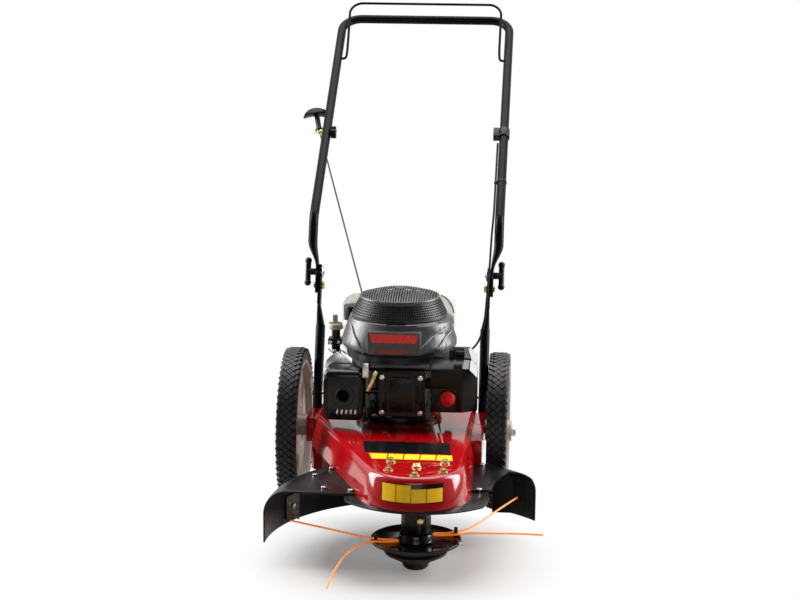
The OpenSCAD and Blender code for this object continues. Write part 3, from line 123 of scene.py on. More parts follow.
def surface(name, colours, rough, patch, grain, lift, stretch=(1, 1, 1), **sockets):
    """A finish in two colours that drift in patches of so many mm, its roughness drifting with them.

    A grain of so many mm lifts the surface by so many mm.
    """
    made = bpy.data.materials.new(name)
    made.use_nodes = True
    tree = made.node_tree
    tree.nodes.clear()
    place = add(tree, "ShaderNodeTexCoord")
    run = add(tree, "ShaderNodeMapping", {"Scale": stretch}, {"Vector": place.outputs["Object"]})
    drift = add(tree, "ShaderNodeTexNoise", {"Scale": 1 / (patch * MM), "Detail": 4.0, "Roughness": 0.6},
                {"Vector": place.outputs["Object"]})
    colour = add(tree, "ShaderNodeValToRGB", links={"Fac": drift.outputs[0]})
    for stop, place_on, code in zip(colour.color_ramp.elements, COLOUR_STOPS, colours):
        stop.position, stop.color = place_on, tint(code)
    dull = add(tree, "ShaderNodeMapRange",
               {"From Min": DRIFT_LOW, "From Max": DRIFT_HIGH, "To Min": rough[0], "To Max": rough[1]},
               {"Value": drift.outputs[0]})
    pits = add(tree, "ShaderNodeTexNoise", {"Scale": 1 / (grain * MM), "Detail": 2.0},
               {"Vector": run.outputs[0]})
    raised = add(tree, "ShaderNodeBump", {"Strength": 1.0, "Distance": lift * MM},
                 {"Height": pits.outputs[0]})
    skin = add(tree, "ShaderNodeBsdfPrincipled", sockets,
               {"Base Color": colour.outputs[0], "Roughness": dull.outputs[0], "Normal": raised.outputs[0]})
    add(tree, "ShaderNodeOutputMaterial", links={"Surface": skin.outputs[0]})
    return made


def shine(level):
    """How strongly a finish that isn't metal mirrors the room."""
    return {"Specular IOR Level": level}


# Each slot's finish, named for the real material and how it was made. A grain that would be too fine to show
# is drawn coarser, at a millimetre or more.
finishes = {
    # Baked enamel on pressed steel: deep colour, wet gloss, faint orange peel
    "deck_red": surface("baked_red_enamel", ("#99060C", "#A4080F"), (0.08, 0.13), 60, 6, 0.001,
                        **{"Specular IOR Level": 0.3, "Coat Weight": 0.35, "Coat Roughness": 0.04}),
    # Black powder coat on sheet steel: satin, with a fine pebble
    "black_steel": surface("black_powder_coat", ("#070708", "#0E0E0F"), (0.22, 0.34), 30, 1.6, 0.006,
                           **shine(0.24)),
    # Bright zinc plate: grey white, soft streaks
    "zinc_steel": surface("bright_zinc_plate", ("#C2C4C6", "#DADBD9"), (0.22, 0.34), 6, 1.2, 0.01,
                          Metallic=1.0),
    # Black satin paint on drawn tube: smooth, with faint long highlights
    "black_tube": surface("black_tube_paint", ("#050506", "#0B0B0C"), (0.24, 0.34), 45, 3, 0.002,
                          **shine(0.07)),
    # Yellow chromate on zinc: straw gold with a green cast
    "yellow_zinc": surface("yellow_chromate", ("#BEA75E", "#E8D9A4"), (0.24, 0.36), 5, 1.2, 0.01,
                           Metallic=1.0),
    # Moulded black polypropylene: low gloss, fine spark-eroded grain
    "black_plastic": surface("moulded_black_polypropylene", ("#070708", "#0D0D0E"), (0.26, 0.38),
                             40, 1.2, 0.006, **shine(0.2)),
    # Bare mild steel with an oil film: grey brown, ground streaks
    "raw_steel": surface("oiled_mild_steel", ("#4C4640", "#7A726A"), (0.38, 0.55), 8, 1.5, 0.02, (1, 1, 6),
                         Metallic=0.9),
    # Die-cast aluminium: grey, open grain, no shine
    "cast_metal": surface("die_cast_aluminium", ("#55575A", "#7E8083"), (0.5, 0.65), 14, 1.4, 0.06,
                          Metallic=0.85),
    # Black engine paint on castings: thin, half gloss, following the grain
    "grey_casting": surface("black_casting_paint", ("#050506", "#0B0B0C"), (0.22, 0.34), 16, 2.4, 0.01,
                            **shine(0.22)),
    # Black rubber: matt, slightly dusty
    "black_rubber": surface("black_rubber", ("#090909", "#121212"), (0.5, 0.65), 12, 1.0, 0.02,
                            **shine(0.15)),
    # Brass plate on the float bowl: warm, softly mirrored, tarnished in patches
    "brass_bowl": surface("warm_brass_plate", ("#8A5A3A", "#C98A5C"), (0.28, 0.42), 9, 1.5, 0.02,
                          Metallic=0.95),
    # Moulded dark grey nylon: satin, fine grain
    "grey_plastic": surface("moulded_grey_nylon", ("#1B1B1D", "#252527"), (0.26, 0.34), 45, 1.2, 0.004,
                            **shine(0.5)),
    # Blow-moulded natural polyethylene: milky, light comes through
    "tank_plastic": surface("milky_polyethylene", ("#F8F8F6", "#FEFEFC"), (0.3, 0.4), 50, 3, 0.01,
                            **{"IOR": 1.15, "Transmission Weight": 0.72}),
    # Braided nylon rope: dull black, with a weave that breaks up its edge
    "rope": surface("braided_nylon_rope", ("#141414", "#2A2A2A"), (0.6, 0.8), 4, 1.6, 0.3, IOR=1.53),
    # Tyre rubber: matt black with grey bloom
    "tyre": surface("tyre_rubber", ("#0C0C0D", "#171718"), (0.45, 0.62), 18, 1.2, 0.03,
                    **shine(0.3)),
    # Moulded taupe polypropylene: even, satin
    "hub_plastic": surface("moulded_taupe_polypropylene", ("#9C8F83", "#AEA297"), (0.36, 0.46), 50, 1.4, 0.01,
                           IOR=1.49),
    # Brown oxide on the steel glide foot: dull and patchy, scuffed bare in places
    "foot_metal": surface("scuffed_brown_steel", ("#1F1713", "#4A3A30"), (0.4, 0.65), 9, 1.6, 0.08,
                          Metallic=0.5),
    # Drawn orange nylon monofilament with a painted glow: it emits light, so it looks brighter than the light
    # that falls on it
    "line_orange": surface("orange_nylon_painted_glow", ("#FF8A1E", "#FF9A34"), (0.25, 0.35), 20, 1.5, 0.01,
                           **{"IOR": 1.53, "Emission Color": tint("#FF8218"), "Emission Strength": 0.36}),
    # Moulded khaki nylon: dusty, satin
    "khaki": surface("moulded_khaki_nylon", ("#8C897C", "#A5A193"), (0.4, 0.55), 14, 1.2, 0.03, IOR=1.53),
    # Moulded red silicone: even, bright, with a soft shine
    "primer_red": surface("red_silicone_rubber", ("#C2070B", "#D20D11"), (0.36, 0.48), 12, 1.5, 0.01,
                          **shine(0.3)),
}
# Moulded grey nylon of the shroud: half gloss, with broad highlights
shroud_nylon = surface("half_gloss_grey_nylon", ("#1E1E20", "#262629"), (0.32, 0.4), 60, 1.2, 0.003,
                       **shine(0.8))
# The same nylon painted pale along its ridges and lighter on the crown's thin ribs: painted highlights where
# they catch the light
ridge_highlight_nylon = surface("grey_nylon_painted_ridge_highlight", ("#7C7C7F", "#909093"), (0.3, 0.4), 20, 1.2, 0.004, IOR=1.53)
rib_highlight_nylon = surface("grey_nylon_painted_rib_highlight", ("#343437", "#434346"), (0.3, 0.4), 20, 1.2, 0.01, IOR=1.53)
# Its pierced band: duller, and a little darker as painted shade
lattice_nylon = surface("pierced_grey_nylon", ("#1A1A1C", "#252528"), (0.36, 0.46), 30, 1.2, 0.004,
                        **shine(0.4))
# Pale grey on the filter's cut-off corner and mid-grey on its slope, over black plastic: painted highlights
# where these faces catch the light
corner_highlight_nylon = surface("grey_nylon_painted_corner_highlight", ("#8E8F91", "#9E9FA1"), (0.3, 0.42), 25, 1.2, 0.01, IOR=1.53)
slope_highlight_nylon = surface("grey_nylon_painted_slope_highlight", ("#606164", "#707174"), (0.34, 0.44), 25, 1.2, 0.01, IOR=1.53)
# Stoved black enamel: hard gloss that mirrors the room
gloss_black = surface("stoved_black_enamel", ("#060607", "#0B0B0C"), (0.14, 0.22), 40, 4, 0.002,
                      **shine(0.35))
# Rolled aluminium sheet: pale, even, softly mirrored
rolled_aluminium = surface("rolled_aluminium", ("#C9CACC", "#D6D7D8"), (0.24, 0.3), 60, 2, 0.003,
                           Metallic=1.0)
# Soot and painted shade inside the outlet: dead black, no shine
soot_and_shade = surface("exhaust_soot", ("#020202", "#050505"), (0.85, 0.95), 8, 1.0, 0.02, **shine(0.05))
# Tread rubber: black with a dull sheen, a little lighter than the carcass as a painted highlight on the
# blocks
tread_highlight_rubber = surface("tread_rubber_painted_highlight", ("#101011", "#1C1C1D"), (0.4, 0.55), 10, 1.2, 0.02,
                      **shine(0.4))
# Vinyl film: smooth, even and slightly glossy
vinyl_black = surface("black_vinyl_print", ("#08080A", "#0E0E10"), (0.2, 0.28), 30, 2, 0.004,
                      **shine(0.25))
vinyl_yellow = surface("yellow_vinyl_print", ("#EDB90C", "#F5C71F"), (0.42, 0.5), 25, 2, 0.004,
                       **shine(0.25))
vinyl_red = surface("red_vinyl_print", ("#E4211F", "#EA2824"), (0.25, 0.32), 25, 2, 0.008, IOR=1.5)
vinyl_dark_red = surface("dark_red_vinyl_print", ("#8A1A1E", "#921D21"), (0.25, 0.32), 25, 2, 0.008, IOR=1.5)


# Modelling by hand
def clear():
    """Deselects everything."""
    bpy.ops.object.select_all(action="DESELECT")


def only(piece):
    """Selects one piece and makes it active."""
    clear()
    piece.select_set(True)
    bpy.context.view_layer.objects.active = piece
    return piece


def editing(piece, *steps):
    """Runs edit-mode steps on a piece with all of it selected."""
    only(piece)
    bpy.ops.object.mode_set(mode="EDIT")
    bpy.ops.mesh.select_all(action="SELECT")
    for step in steps:
        step()
    bpy.ops.object.mode_set(mode="OBJECT")
    return piece


def modified(piece, kind, **settings):
    """Adds a modifier, sets it and applies it."""
    only(piece)
    bpy.ops.object.modifier_add(type=kind)
    added = piece.modifiers[-1]
    for key, value in settings.items():
        setattr(added, key, value)
    bpy.ops.object.modifier_apply(modifier=added.name)
    return piece


def softened(piece, width, segments=2, angle=32):
    """Rounds a piece's sharp edges, by a width in mm."""
    return modified(piece, "BEVEL", width=width * MM, segments=segments, limit_method="ANGLE",
                    angle_limit=math.radians(angle), use_clamp_overlap=True)


def settled(piece):
    """Puts a piece's place, turn and size into its mesh."""
    only(piece)
    bpy.ops.object.transform_apply(location=True, rotation=True, scale=True)
    return piece


def block(low, high):
    """A box between two corners in mm."""
    low, high = at(*low), at(*high)
    clear()
    bpy.ops.mesh.primitive_cube_add(size=1, location=(low + high) / 2, scale=high - low)
    return settled(bpy.context.object)


def drum(start, end, radius, sides=48):
    """A round bar between two points, all in mm."""
    start, end = at(*start), at(*end)
    clear()
    bpy.ops.mesh.primitive_cylinder_add(vertices=sides, radius=radius * MM, depth=(end - start).length,
                                        location=(start + end) / 2,
                                        rotation=(end - start).to_track_quat("Z", "Y").to_euler())
    return settled(bpy.context.object)


def turned(profile, centre, axis, steps=96):
    """A form spun from a profile of (radius, along) points in mm about an axis through centre."""
    centre, axis = at(*centre), Vector(axis).normalized()
    side = axis.orthogonal().normalized()
    mesh = bpy.data.meshes.new("turned")
    mesh.from_pydata([centre + side * r * MM + axis * h * MM for r, h in profile],
                     [(i, i + 1) for i in range(len(profile) - 1)], [])
    piece = bpy.data.objects.new("turned", mesh)
    bpy.context.collection.objects.link(piece)
    return editing(
        piece, lambda: bpy.ops.mesh.spin(steps=steps, angle=2 * math.pi, center=centre, axis=axis),
        lambda: bpy.ops.mesh.select_all(action="SELECT"), lambda: bpy.ops.mesh.remove_doubles(threshold=1e-6),
        lambda: bpy.ops.mesh.normals_make_consistent(inside=False))


def slab(outline, push):
    """A flat plate from an outline of points in mm, thickened by a push in mm."""
    mesh = bpy.data.meshes.new("slab")
    mesh.from_pydata([at(*p) for p in outline], [], [range(len(outline))])
    piece = bpy.data.objects.new("slab", mesh)
    bpy.context.collection.objects.link(piece)
    push = {"value": at(*push)}
    return editing(piece, lambda: bpy.ops.mesh.extrude_region_move(TRANSFORM_OT_translate=push),
                   lambda: bpy.ops.mesh.select_all(action="SELECT"),
                   lambda: bpy.ops.mesh.normals_make_consistent(inside=False))


def joined(pieces):
    """Several pieces as one."""
    only(pieces[0])
    for piece in pieces[1:]:
        piece.select_set(True)
    if len(pieces) > 1:
        bpy.ops.object.join()
    return pieces[0]


def repeated(piece, turns, centre, axis):
    """A piece copied round an axis through centre, in mm, as one mesh."""
    sweep = 2 * math.pi * (turns - 1) / turns
    return editing(piece, lambda: bpy.ops.mesh.spin(steps=turns - 1, dupli=True, angle=sweep,
                                                    center=at(*centre), axis=axis))


def finished(piece, name, slot, body, stands_for=(), finish=None, angle=35):
    """Names and paints a piece, and makes it ride on its body."""
    settled(piece)
    bpy.ops.object.shade_smooth_by_angle(angle=math.radians(angle))
    piece.name = piece.data.name = name
    piece.data.materials.clear()
    piece.data.materials.append(finish or finishes[slot])
    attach(piece, body)
    if stands_for:
        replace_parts(piece, *stands_for)
    return piece


def copied(node):
    """A merged copy of a solid's mesh, as a new loose piece."""
    only(solids[node])
    bpy.ops.object.duplicate()
    piece = bpy.context.object
    del piece["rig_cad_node"], piece["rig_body"]
    piece.parent = None
    return editing(piece, lambda: bpy.ops.mesh.remove_doubles(threshold=2e-6),
                   lambda: bpy.ops.mesh.dissolve_limited(angle_limit=math.radians(0.6)))


def flowing(points, steps=6):
    """A smooth run through points in mm, in metres."""
    points = [Vector(p) for p in points]
    ends = [2 * points[0] - points[1], *points, 2 * points[-1] - points[-2]]
    run = []
    for a, b, c, d in zip(ends, ends[1:], ends[2:], ends[3:]):
        for i in range(steps):
            t = i / steps
            run.append(0.5 * (2 * b + (c - a) * t + (2 * a - 5 * b + 4 * c - d) * t ** 2
                              + (3 * b - a - 3 * c + d) * t ** 3) * MM)
    return run + [points[-1] * MM]


def strand(run, radius):
    """A round cord along a run of points in metres."""
    shape = bpy.data.curves.new("strand", "CURVE")
    shape.dimensions = "3D"
    shape.bevel_depth = radius * MM
    shape.bevel_resolution = 5
    shape.use_fill_caps = True
    line = shape.splines.new("POLY")
    line.points.add(len(run) - 1)
    for point, place in zip(line.points, run):
        point.co = (*place, 1)
    piece = bpy.data.objects.new("strand", shape)
    bpy.context.collection.objects.link(piece)
    return piece


def meshed(piece):
    """A cord as a mesh."""
    only(piece)
    bpy.ops.object.convert(target="MESH")
    return bpy.context.object


# Trimmer lines: stiff nylon, each arm from the rim of the head to its cut end
LINE_MM, LINE_STEPS = 4, 8
line_ways = {
    "left": [[-274, 84, 64], [-180, 28, 66], [-110, -13, 67], [-86, -22, 66.4], [-62, -20, 64.4],
             [-42, -19, 64.4], [-35, -25, 64.4], [-42, -31, 64.4], [-62, -34, 64.4], [-86, -42, 66.6],
             [-112, -63, 64], [-134, -100, 58], [-149, -150, 47], [-157, -195, 36], [-160, -225, 30]],
    "right": [[205, 199, 95], [170, 146, 86], [136, 94, 76], [108, 58, 69], [86, 42, 66.6], [62, 34, 64.4],
              [42, 31, 64.4], [35, 25, 64.4], [42, 19, 64.4], [62, 20, 64.4], [86, 22, 66.4], [116, 31, 67],
              [170, 45, 64], [220, 56, 61], [263, 65, 57]],
}
# Where each line leaves the rim of the head, as places in its way
line_exits = {"left": (3, 9), "right": (4, 10)}
for side, way in line_ways.items():
    near, far = line_exits[side]
    for name, points in (("rear", way[near::-1]), ("front", way[far:])):
        run = flowing(points, LINE_STEPS)
        arm = strand(run, LINE_MM / 2)
        arm.name = f"line_{side}_{name}"
        arm.data.materials.append(finishes["line_orange"])
        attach(arm, "head")
        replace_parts(arm, f"line_{side}")
    bight = meshed(strand(flowing(way[near:far + 1], LINE_STEPS), LINE_MM / 2))
    finished(bight, f"line_{side}_bight", "line_orange", "head", [f"line_{side}"])

# Starter rope, taut from the starter to its guide, and the short end that leaves the guide towards the grip
ROPE_MM, ROPE_STEPS = 4, 30
EYE = Vector((-322, 1005, 782.5))
ROPE_START = Vector((-160, 455, 488))
rope_way = EYE - ROPE_START
rope_run = [(ROPE_START + rope_way * i / ROPE_STEPS) * MM for i in range(ROPE_STEPS + 1)]
rope = meshed(strand(rope_run, ROPE_MM / 2))
rope.name = "starter_rope_run"
rope.data.materials.append(finishes["rope"])
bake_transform(rope)
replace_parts(rope, "starter_rope")
GRIP_DIR = Vector((-0.22, 0.55, 0.8)).normalized()
END_STEPS, END_PLAY = (-1, 1, 3, 5, 7), 0.2
tail_run = [EYE * MM + GRIP_DIR * MM * h for h in END_STEPS]
tail = meshed(strand(tail_run, ROPE_MM / 2 - END_PLAY))
tail.name = "starter_rope_end"
tail.data.materials.append(finishes["rope"])
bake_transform(tail)

# Brake cable from the engine up past the pivot to its clip
CABLE_MM, CABLE_STEPS = 5, 4
cable_way = [[-5.5, 460.5, 328], [32, 494, 328], [62, 530, 331], [88, 556, 338], [106, 574, 362],
             [115, 584, 402], [119, 596, 452], [121, 606, 482], [123, 619, 514], [124.5, 636, 552],
             [126, 661, 592], [128, 686, 624], [128.6, 720, 646], [128.6, 800, 698.5], [128.6, 880, 751],
             [128.6, 915, 774]]
cable_run = flowing(cable_way, CABLE_STEPS)
cable = meshed(strand(cable_run, CABLE_MM / 2))
cable.name = "brake_cable"
cable.data.materials.append(finishes["black_rubber"])
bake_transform(cable)
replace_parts(cable, "brake_cable_lower", "brake_cable_upper")

# Tyres: a moulded carcass with lozenge blocks in staggered rows
WHEEL_Y, WHEEL_Z = 436, 178
AXLE_WAY = (1, 0, 0)
TREAD_COUNT = 66
TREAD_ROWS = (-17, -8.5, 0, 8.5, 17)
SHOULDER_FROM = 10
# Half width, foot radius and top radius of a block in the middle rows and on the shoulders
MIDDLE_BLOCK, SHOULDER_BLOCK = (7.3, 173.0, 178), (5.4, 170.5, 175.7)
BLOCK_HALF_L = 7.3
FOOT_GROWS = (1 + 0.8 / 5, 1 + 0.8 / 7)
carcass = [(150, -19), (151.5, -22), (160, -22.8), (167, -22), (171.5, -19.5), (174, -14), (174.8, -6),
           (175, 0)]
carcass = carcass + [(r, -h) for r, h in carcass[-2::-1]]


def lozenge(wheel_x, across, turn):
    """One tread block on top of the tyre, its foot in the carcass, turned about the axle."""
    half_w, low, top = MIDDLE_BLOCK if abs(across) < SHOULDER_FROM else SHOULDER_BLOCK
    clear()
    bpy.ops.mesh.primitive_cylinder_add(vertices=4, radius=1, depth=1)
    piece = bpy.context.object
    piece.scale = at(half_w, BLOCK_HALF_L, top - low)
    middle = at(wheel_x + across, WHEEL_Y, WHEEL_Z + (top + low) / 2)
    piece.location = middle
    settled(piece)
    for vertex in piece.data.vertices:
        if vertex.co.z < middle.z:
            vertex.co.x = middle.x + (vertex.co.x - middle.x) * FOOT_GROWS[0]
            vertex.co.y = middle.y + (vertex.co.y - middle.y) * FOOT_GROWS[1]
    return editing(piece, lambda: bpy.ops.transform.rotate(value=-turn, orient_axis="X",
                                                           center_override=at(wheel_x, WHEEL_Y, WHEEL_Z)))


for side, wheel_x in (("left", -310), ("right", 156)):
    hub_at = (wheel_x, WHEEL_Y, WHEEL_Z)
    tyre = turned(carcass, hub_at, AXLE_WAY, 120)
    rows = []
    for i, across in enumerate(TREAD_ROWS):
        first = lozenge(wheel_x, across, (i % 2) * math.pi / TREAD_COUNT)
        rows.append(repeated(first, TREAD_COUNT, hub_at, AXLE_WAY))
    finished(tyre, f"tyre_{side}_carcass", "tyre", f"wheel_{side}", [f"tyre_{side}"], angle=30)
    # The tread blocks are a shade lighter than the carcass: a painted highlight
    finished(joined(rows), f"tyre_{side}_tread", "tyre", f"wheel_{side}", [f"tyre_{side}"],
             finish=tread_highlight_rubber, angle=30)

# Starter cover: domed crown of upright ribs, pierced band, finger slot and a plain badge
CRANK = (-70, 412, 0)
CROWN_R, CROWN_Z, CROWN_RISE = 88, 492.5, 17
RIB_GAP, RIB_W, RIB_H, RIBS, RIB_STEPS = 5.6, 2.3, 5, 15, 8
BAND_ROWS, BAND_TURNS, BAND_BAR, BAND_T = 7, 112, 0.85, 2.0
BAND_R, BAND_Z, BAND_IN, BAND_UP = 106.4, 455.5, 17.0, 34.5
UPRIGHT = (0, 0, 1)


def crown_z(x, y):
    """Height of the domed crown at so many mm to the side of and behind the crank."""
    return CROWN_Z + CROWN_RISE * (1 - (x * x + y * y) / CROWN_R ** 2)


# A black dome under the grille and band, so that their openings show dark: painted shade inside the cover
shade_lining = turned([(0, 500), (40, 497), (82, 484), (98, 456), (98, 452)], CRANK, UPRIGHT)
finished(shade_lining, "starter_cover_lining", "black_plastic", "chassis")
band = turned([(BAND_R - i * BAND_IN / BAND_ROWS, BAND_Z + i * BAND_UP / BAND_ROWS)
               for i in range(BAND_ROWS + 1)], CRANK, UPRIGHT, BAND_TURNS)
editing(band, lambda: bpy.ops.mesh.inset(thickness=BAND_BAR * MM, use_individual=True, use_even_offset=True),
        lambda: bpy.ops.mesh.delete(type="FACE"))
modified(band, "SOLIDIFY", thickness=BAND_T * MM, offset=-1)
lip = turned([(101, 449.3), (107, 449.3), (107.2, 453), (106.4, 456.5), (102, 456.5), (101, 449.3)],
             CRANK, UPRIGHT)
crown = turned([(85.6, 489), (89.4, 488.6), (90, 491), (89, 493.4), (86.6, 494), (85.6, 489)],
               CRANK, UPRIGHT)
ribs = []
for i in range(-RIBS, RIBS + 1):
    x = i * RIB_GAP
    half = math.sqrt((CROWN_R - 1) ** 2 - x * x)
    along = [half * (j / RIB_STEPS - 1) for j in range(2 * RIB_STEPS + 1)]
    top = [(CRANK[0] + x - RIB_W / 2, CRANK[1] + y, crown_z(x, y)) for y in along]
    ribs.append(slab(top + [(*spot[:2], spot[2] - RIB_H) for spot in reversed(top)], (RIB_W, 0, 0)))
# Crown ribs and rim in a lighter grey than the shroud: a painted highlight
finished(joined([crown, *ribs]), "starter_cover_grille", "grey_plastic", "chassis", ["recoil_cover"],
         finish=rib_highlight_nylon)
finished(joined([band, lip]), "starter_cover_band", "grey_plastic", "chassis", ["recoil_cover"],
         finish=lattice_nylon)
badge = turned([(0, 505), (11, 505), (11, 509.6), (9.8, 510.4), (0, 510.6)], CRANK, UPRIGHT, 40)
finished(badge, "starter_cover_badge", "grey_plastic", "chassis")
# The finger slot as a black block: painted shade in its recess
slot = softened(block((-92, 303.2, 450.6), (-49, 310, 456)), 1.2)
finished(slot, "starter_cover_slot", "black_plastic", "chassis")

# Raised ridges that run down the shroud's flanks towards its panel, pale with a painted highlight
RIDGE_R = 1.6
for i, way in enumerate((
        [(50.7, 395, 431), (32.2, 348.1, 429), (13.7, 325.3, 421), (-5.3, 304.3, 406), (-25.9, 290.8, 387)],
        [(48.5, 379, 419.6), (37, 346.4, 411.6), (29.6, 330, 401.6), (20.2, 317.4, 391.4)],
        [(-182, 398.6, 435.6), (-174.6, 357.4, 433.6), (-164.8, 331.4, 415.6), (-153.3, 311.9, 398.4),
         (-141.8, 308.6, 379.2)])):
    ridge = meshed(strand(flowing(way), RIDGE_R))
    finished(ridge, f"shroud_ridge_{i + 1}", "grey_plastic", "chassis", finish=ridge_highlight_nylon)

# Muffler: rounded shell, ring and collar round the outlet, louvres along the foot, strap tab and heat shield
OUTLET = (-182, 268, 294)
FORWARD = (0, -1, 0)
LOUVRES_X, LOUVRE_W = (-197, -187, -177, -167, -157), 4.6
ring = turned([(23, -0.5), (24.5, 1.2), (26, -0.5)], OUTLET, FORWARD)
collar = turned([(13, -1.5), (13, 3.5), (15.6, 3.5), (16.4, 2.6), (16.6, -0.5)], OUTLET, FORWARD)
shell = softened(block((-226.4, 267.6, 237.6), (-137.6, 343.4, 349)), 14, 6)
finished(shell, "muffler_shell", slot_of["muffler"], "chassis", finish=gloss_black)
finished(joined([ring, collar]), "muffler_outlet_ring", slot_of["muffler"], "chassis")
# A black disc across the outlet's mouth, for its soot and the painted shade inside it
mouth = drum((-182, 267.9, 294), (-182, 267.2, 294), 12.9)
finished(mouth, "muffler_outlet_mouth", slot_of["muffler"], "chassis", finish=soot_and_shade)
louvres = [softened(block((x, 266.8, 251), (x + LOUVRE_W, 268.4, 262)), 0.6) for x in LOUVRES_X]
finished(joined(louvres), "muffler_louvres", "zinc_steel", "chassis")
tab = softened(block((-139, 267, 335), (-126, 269.4, 368)), 0.5)
finished(tab, "muffler_strap_tab", "zinc_steel", "chassis")
SHIELD_Y, SHIELD_T = 341, 4
shield = [(-232, 337), (-227, 355), (-219, 364), (-211, 370), (-201, 373.5), (-189, 367), (-176.5, 356.5),
          (-161, 339)]
shield = softened(slab([(x, SHIELD_Y, z) for x, z in shield], (0, SHIELD_T, 0)), 1.2)
finished(shield, "muffler_heat_shield", "zinc_steel", "chassis", finish=rolled_aluminium)

# Oil filler: clamp and throttle link on the tube, and the winged cap of the dipstick
FILLER = (-221, 476)
clamp = softened(block((-238, 462, 362), (-206, 490, 376)), 1.5)
finished(clamp, "oil_tube_clamp", slot_of["oil_tube"], "chassis")
link = [meshed(strand(flowing([(-237, 461, 353), (-228, 460, 345), (-222, 460, 351), (-214, 460, 343),
                               (-206, 462, 349), (-196, 466, 340)]), 1.6)),
        drum((-232, 463, 369), (-232, 458, 369), 4.4, sides=6), drum((-213, 463, 369), (-213, 459, 369), 3.4)]
finished(joined(link), "throttle_link", "zinc_steel", "chassis")
cap = turned([(0, 396.4), (14.5, 396.4), (16, 398), (16, 406), (14.6, 409), (0, 410)], (*FILLER, 0), UPRIGHT)
wing = softened(block((-228, 471, 408), (-217, 481, 430)), 2)
lever = softened(block((-236.6, 472.5, 402), (-206, 479.5, 413)), 2)
blade = drum((*FILLER, 355), (*FILLER, 398), 3)
finished(joined([cap, wing, lever, blade]), "dipstick_cap", slot_of["dipstick"], "dipstick", ["dipstick"],
         finish=finishes["khaki"])

# Rocker cover: bead round its raised panel and cooling ribs beside it
BEAD_Y, BEAD_R = 249.2, 1.6
bead = [(-80, 268), (-80.5, 300), (-79, 333), (-74, 338), (-53, 339), (-32, 338), (-27, 333), (-25.5, 300),
        (-26, 268)]
bead = meshed(strand(flowing([(x, BEAD_Y, z) for x, z in bead]), BEAD_R))
ribs = [softened(block((x, 251.4, 282), (x + 2.6, 254.4, 322)), 0.8) for x in (-20, -15, -10)]
finished(joined([bead, *ribs]), "rocker_cover_ribs", slot_of["rocker_cover"], "chassis")

# Float bowl under the filter, with its drain screw
bowl = turned([(0, 249), (4, 249), (4.4, 252), (9, 252.6), (10.6, 255), (10.8, 262.4), (0, 262.4)],
              (21, 284, 0), UPRIGHT)
finished(bowl, "carburettor_bowl", "brass_bowl", "chassis")

# Filter: latches over the sloped top, mid-grey plates beside them and a pale plate on the cut-off corner,
# both painted highlights
latches = [softened(block(low, high), 1.4) for low, high in (
    ((48, 304, 374), (57, 318, 395)), ((62, 305, 381), (82, 316, 391)))]
finished(joined(latches), "filter_base_latches", slot_of["filter_base"], "chassis",
         finish=finishes["black_plastic"])
latch = softened(block((60, 271, 358), (78, 284, 368.6)), 1.4)
finished(latch, "filter_cover_latch", slot_of["filter_cover"], body_of["filter_cover"],
         finish=finishes["black_plastic"])
TRIM_AT, TRIM_WAY = Vector((99.2, 330, 389.2)), Vector((0.645, -0.392, 0.656)).normalized()
CORNER_T = 0.4


def on_trim(x, y):
    """The point of the filter's cut-off corner at x and y."""
    return x, y, TRIM_AT.z - (TRIM_WAY.x * (x - TRIM_AT.x) + TRIM_WAY.y * (y - TRIM_AT.y)) / TRIM_WAY.z


for node, slope, corner in (
        ("filter_cover", [(79, 271, 359.8), (92, 271, 359.8), (93, 296, 373.7), (82, 296, 373.7)],
         [(94.8, 270.4), (111.4, 270.4), (111.4, 301.2), (98.4, 301.2), (95.4, 296)]),
        ("filter_base", [(82, 303, 376.6), (94, 303, 376.6), (87, 321.5, 395.6), (80, 321.5, 395.6)],
         [(97, 302.4), (108.9, 302.4), (108.9, 331), (94, 331), (89, 322)])):
    plate = slab(slope, (0, -0.4, 0.7))
    finished(plate, f"{node}_plate", slot_of[node], body_of[node], finish=slope_highlight_nylon)
    plate = slab([on_trim(x, y) for x, y in corner], TRIM_WAY * CORNER_T)
    finished(plate, f"{node}_corner", slot_of[node], body_of[node], finish=corner_highlight_nylon)

# Upper handle: one bent tube whose two ends are pressed flat and stepped in to the folding pivots
MIDDLE_X, TUBE_R, HANDLE_HALF = -77, 11.1, 220
PIVOT = Vector((0, 625, 467))
LEG = Vector((0, 0.3373, 0.9414))
SLOPE = Vector((0, 0.8363, 0.5483))
FLAT_IN, FLAT_T, FLAT_W = 206.3, 3.5, 15
FLAT_FROM, FLAT_TO = 42, 106
FLAT_SQUARE = 0.6
# The flat's rounded end below the pivot: where it starts, its length and the least share of the width
END_FROM, END_LONG, END_LEAST = -8, 11, 0.1
LEG_PLACES = (-18, -17, -14, -8, 8, 24, 36, 44, 52, 60, 68, 76, 84, 92, 100, 108, 124, 141)
# The bend between leg and slope, the way up to the bar and the bar's corners
BEND_UP, BEND_REACH, BEND_STEPS = 163, 20, 8
BAR_UP, CORNER_R, CORNER_STEPS = 776.1, 50, 12
BEND = PIVOT + LEG * BEND_UP
ACROSS = Vector((1, 0, 0))


def eased(t, low, high):
    """A smooth step from 0 to 1 between two values."""
    share = min(max((t - low) / (high - low), 0), 1)
    return share * share * (3 - 2 * share)


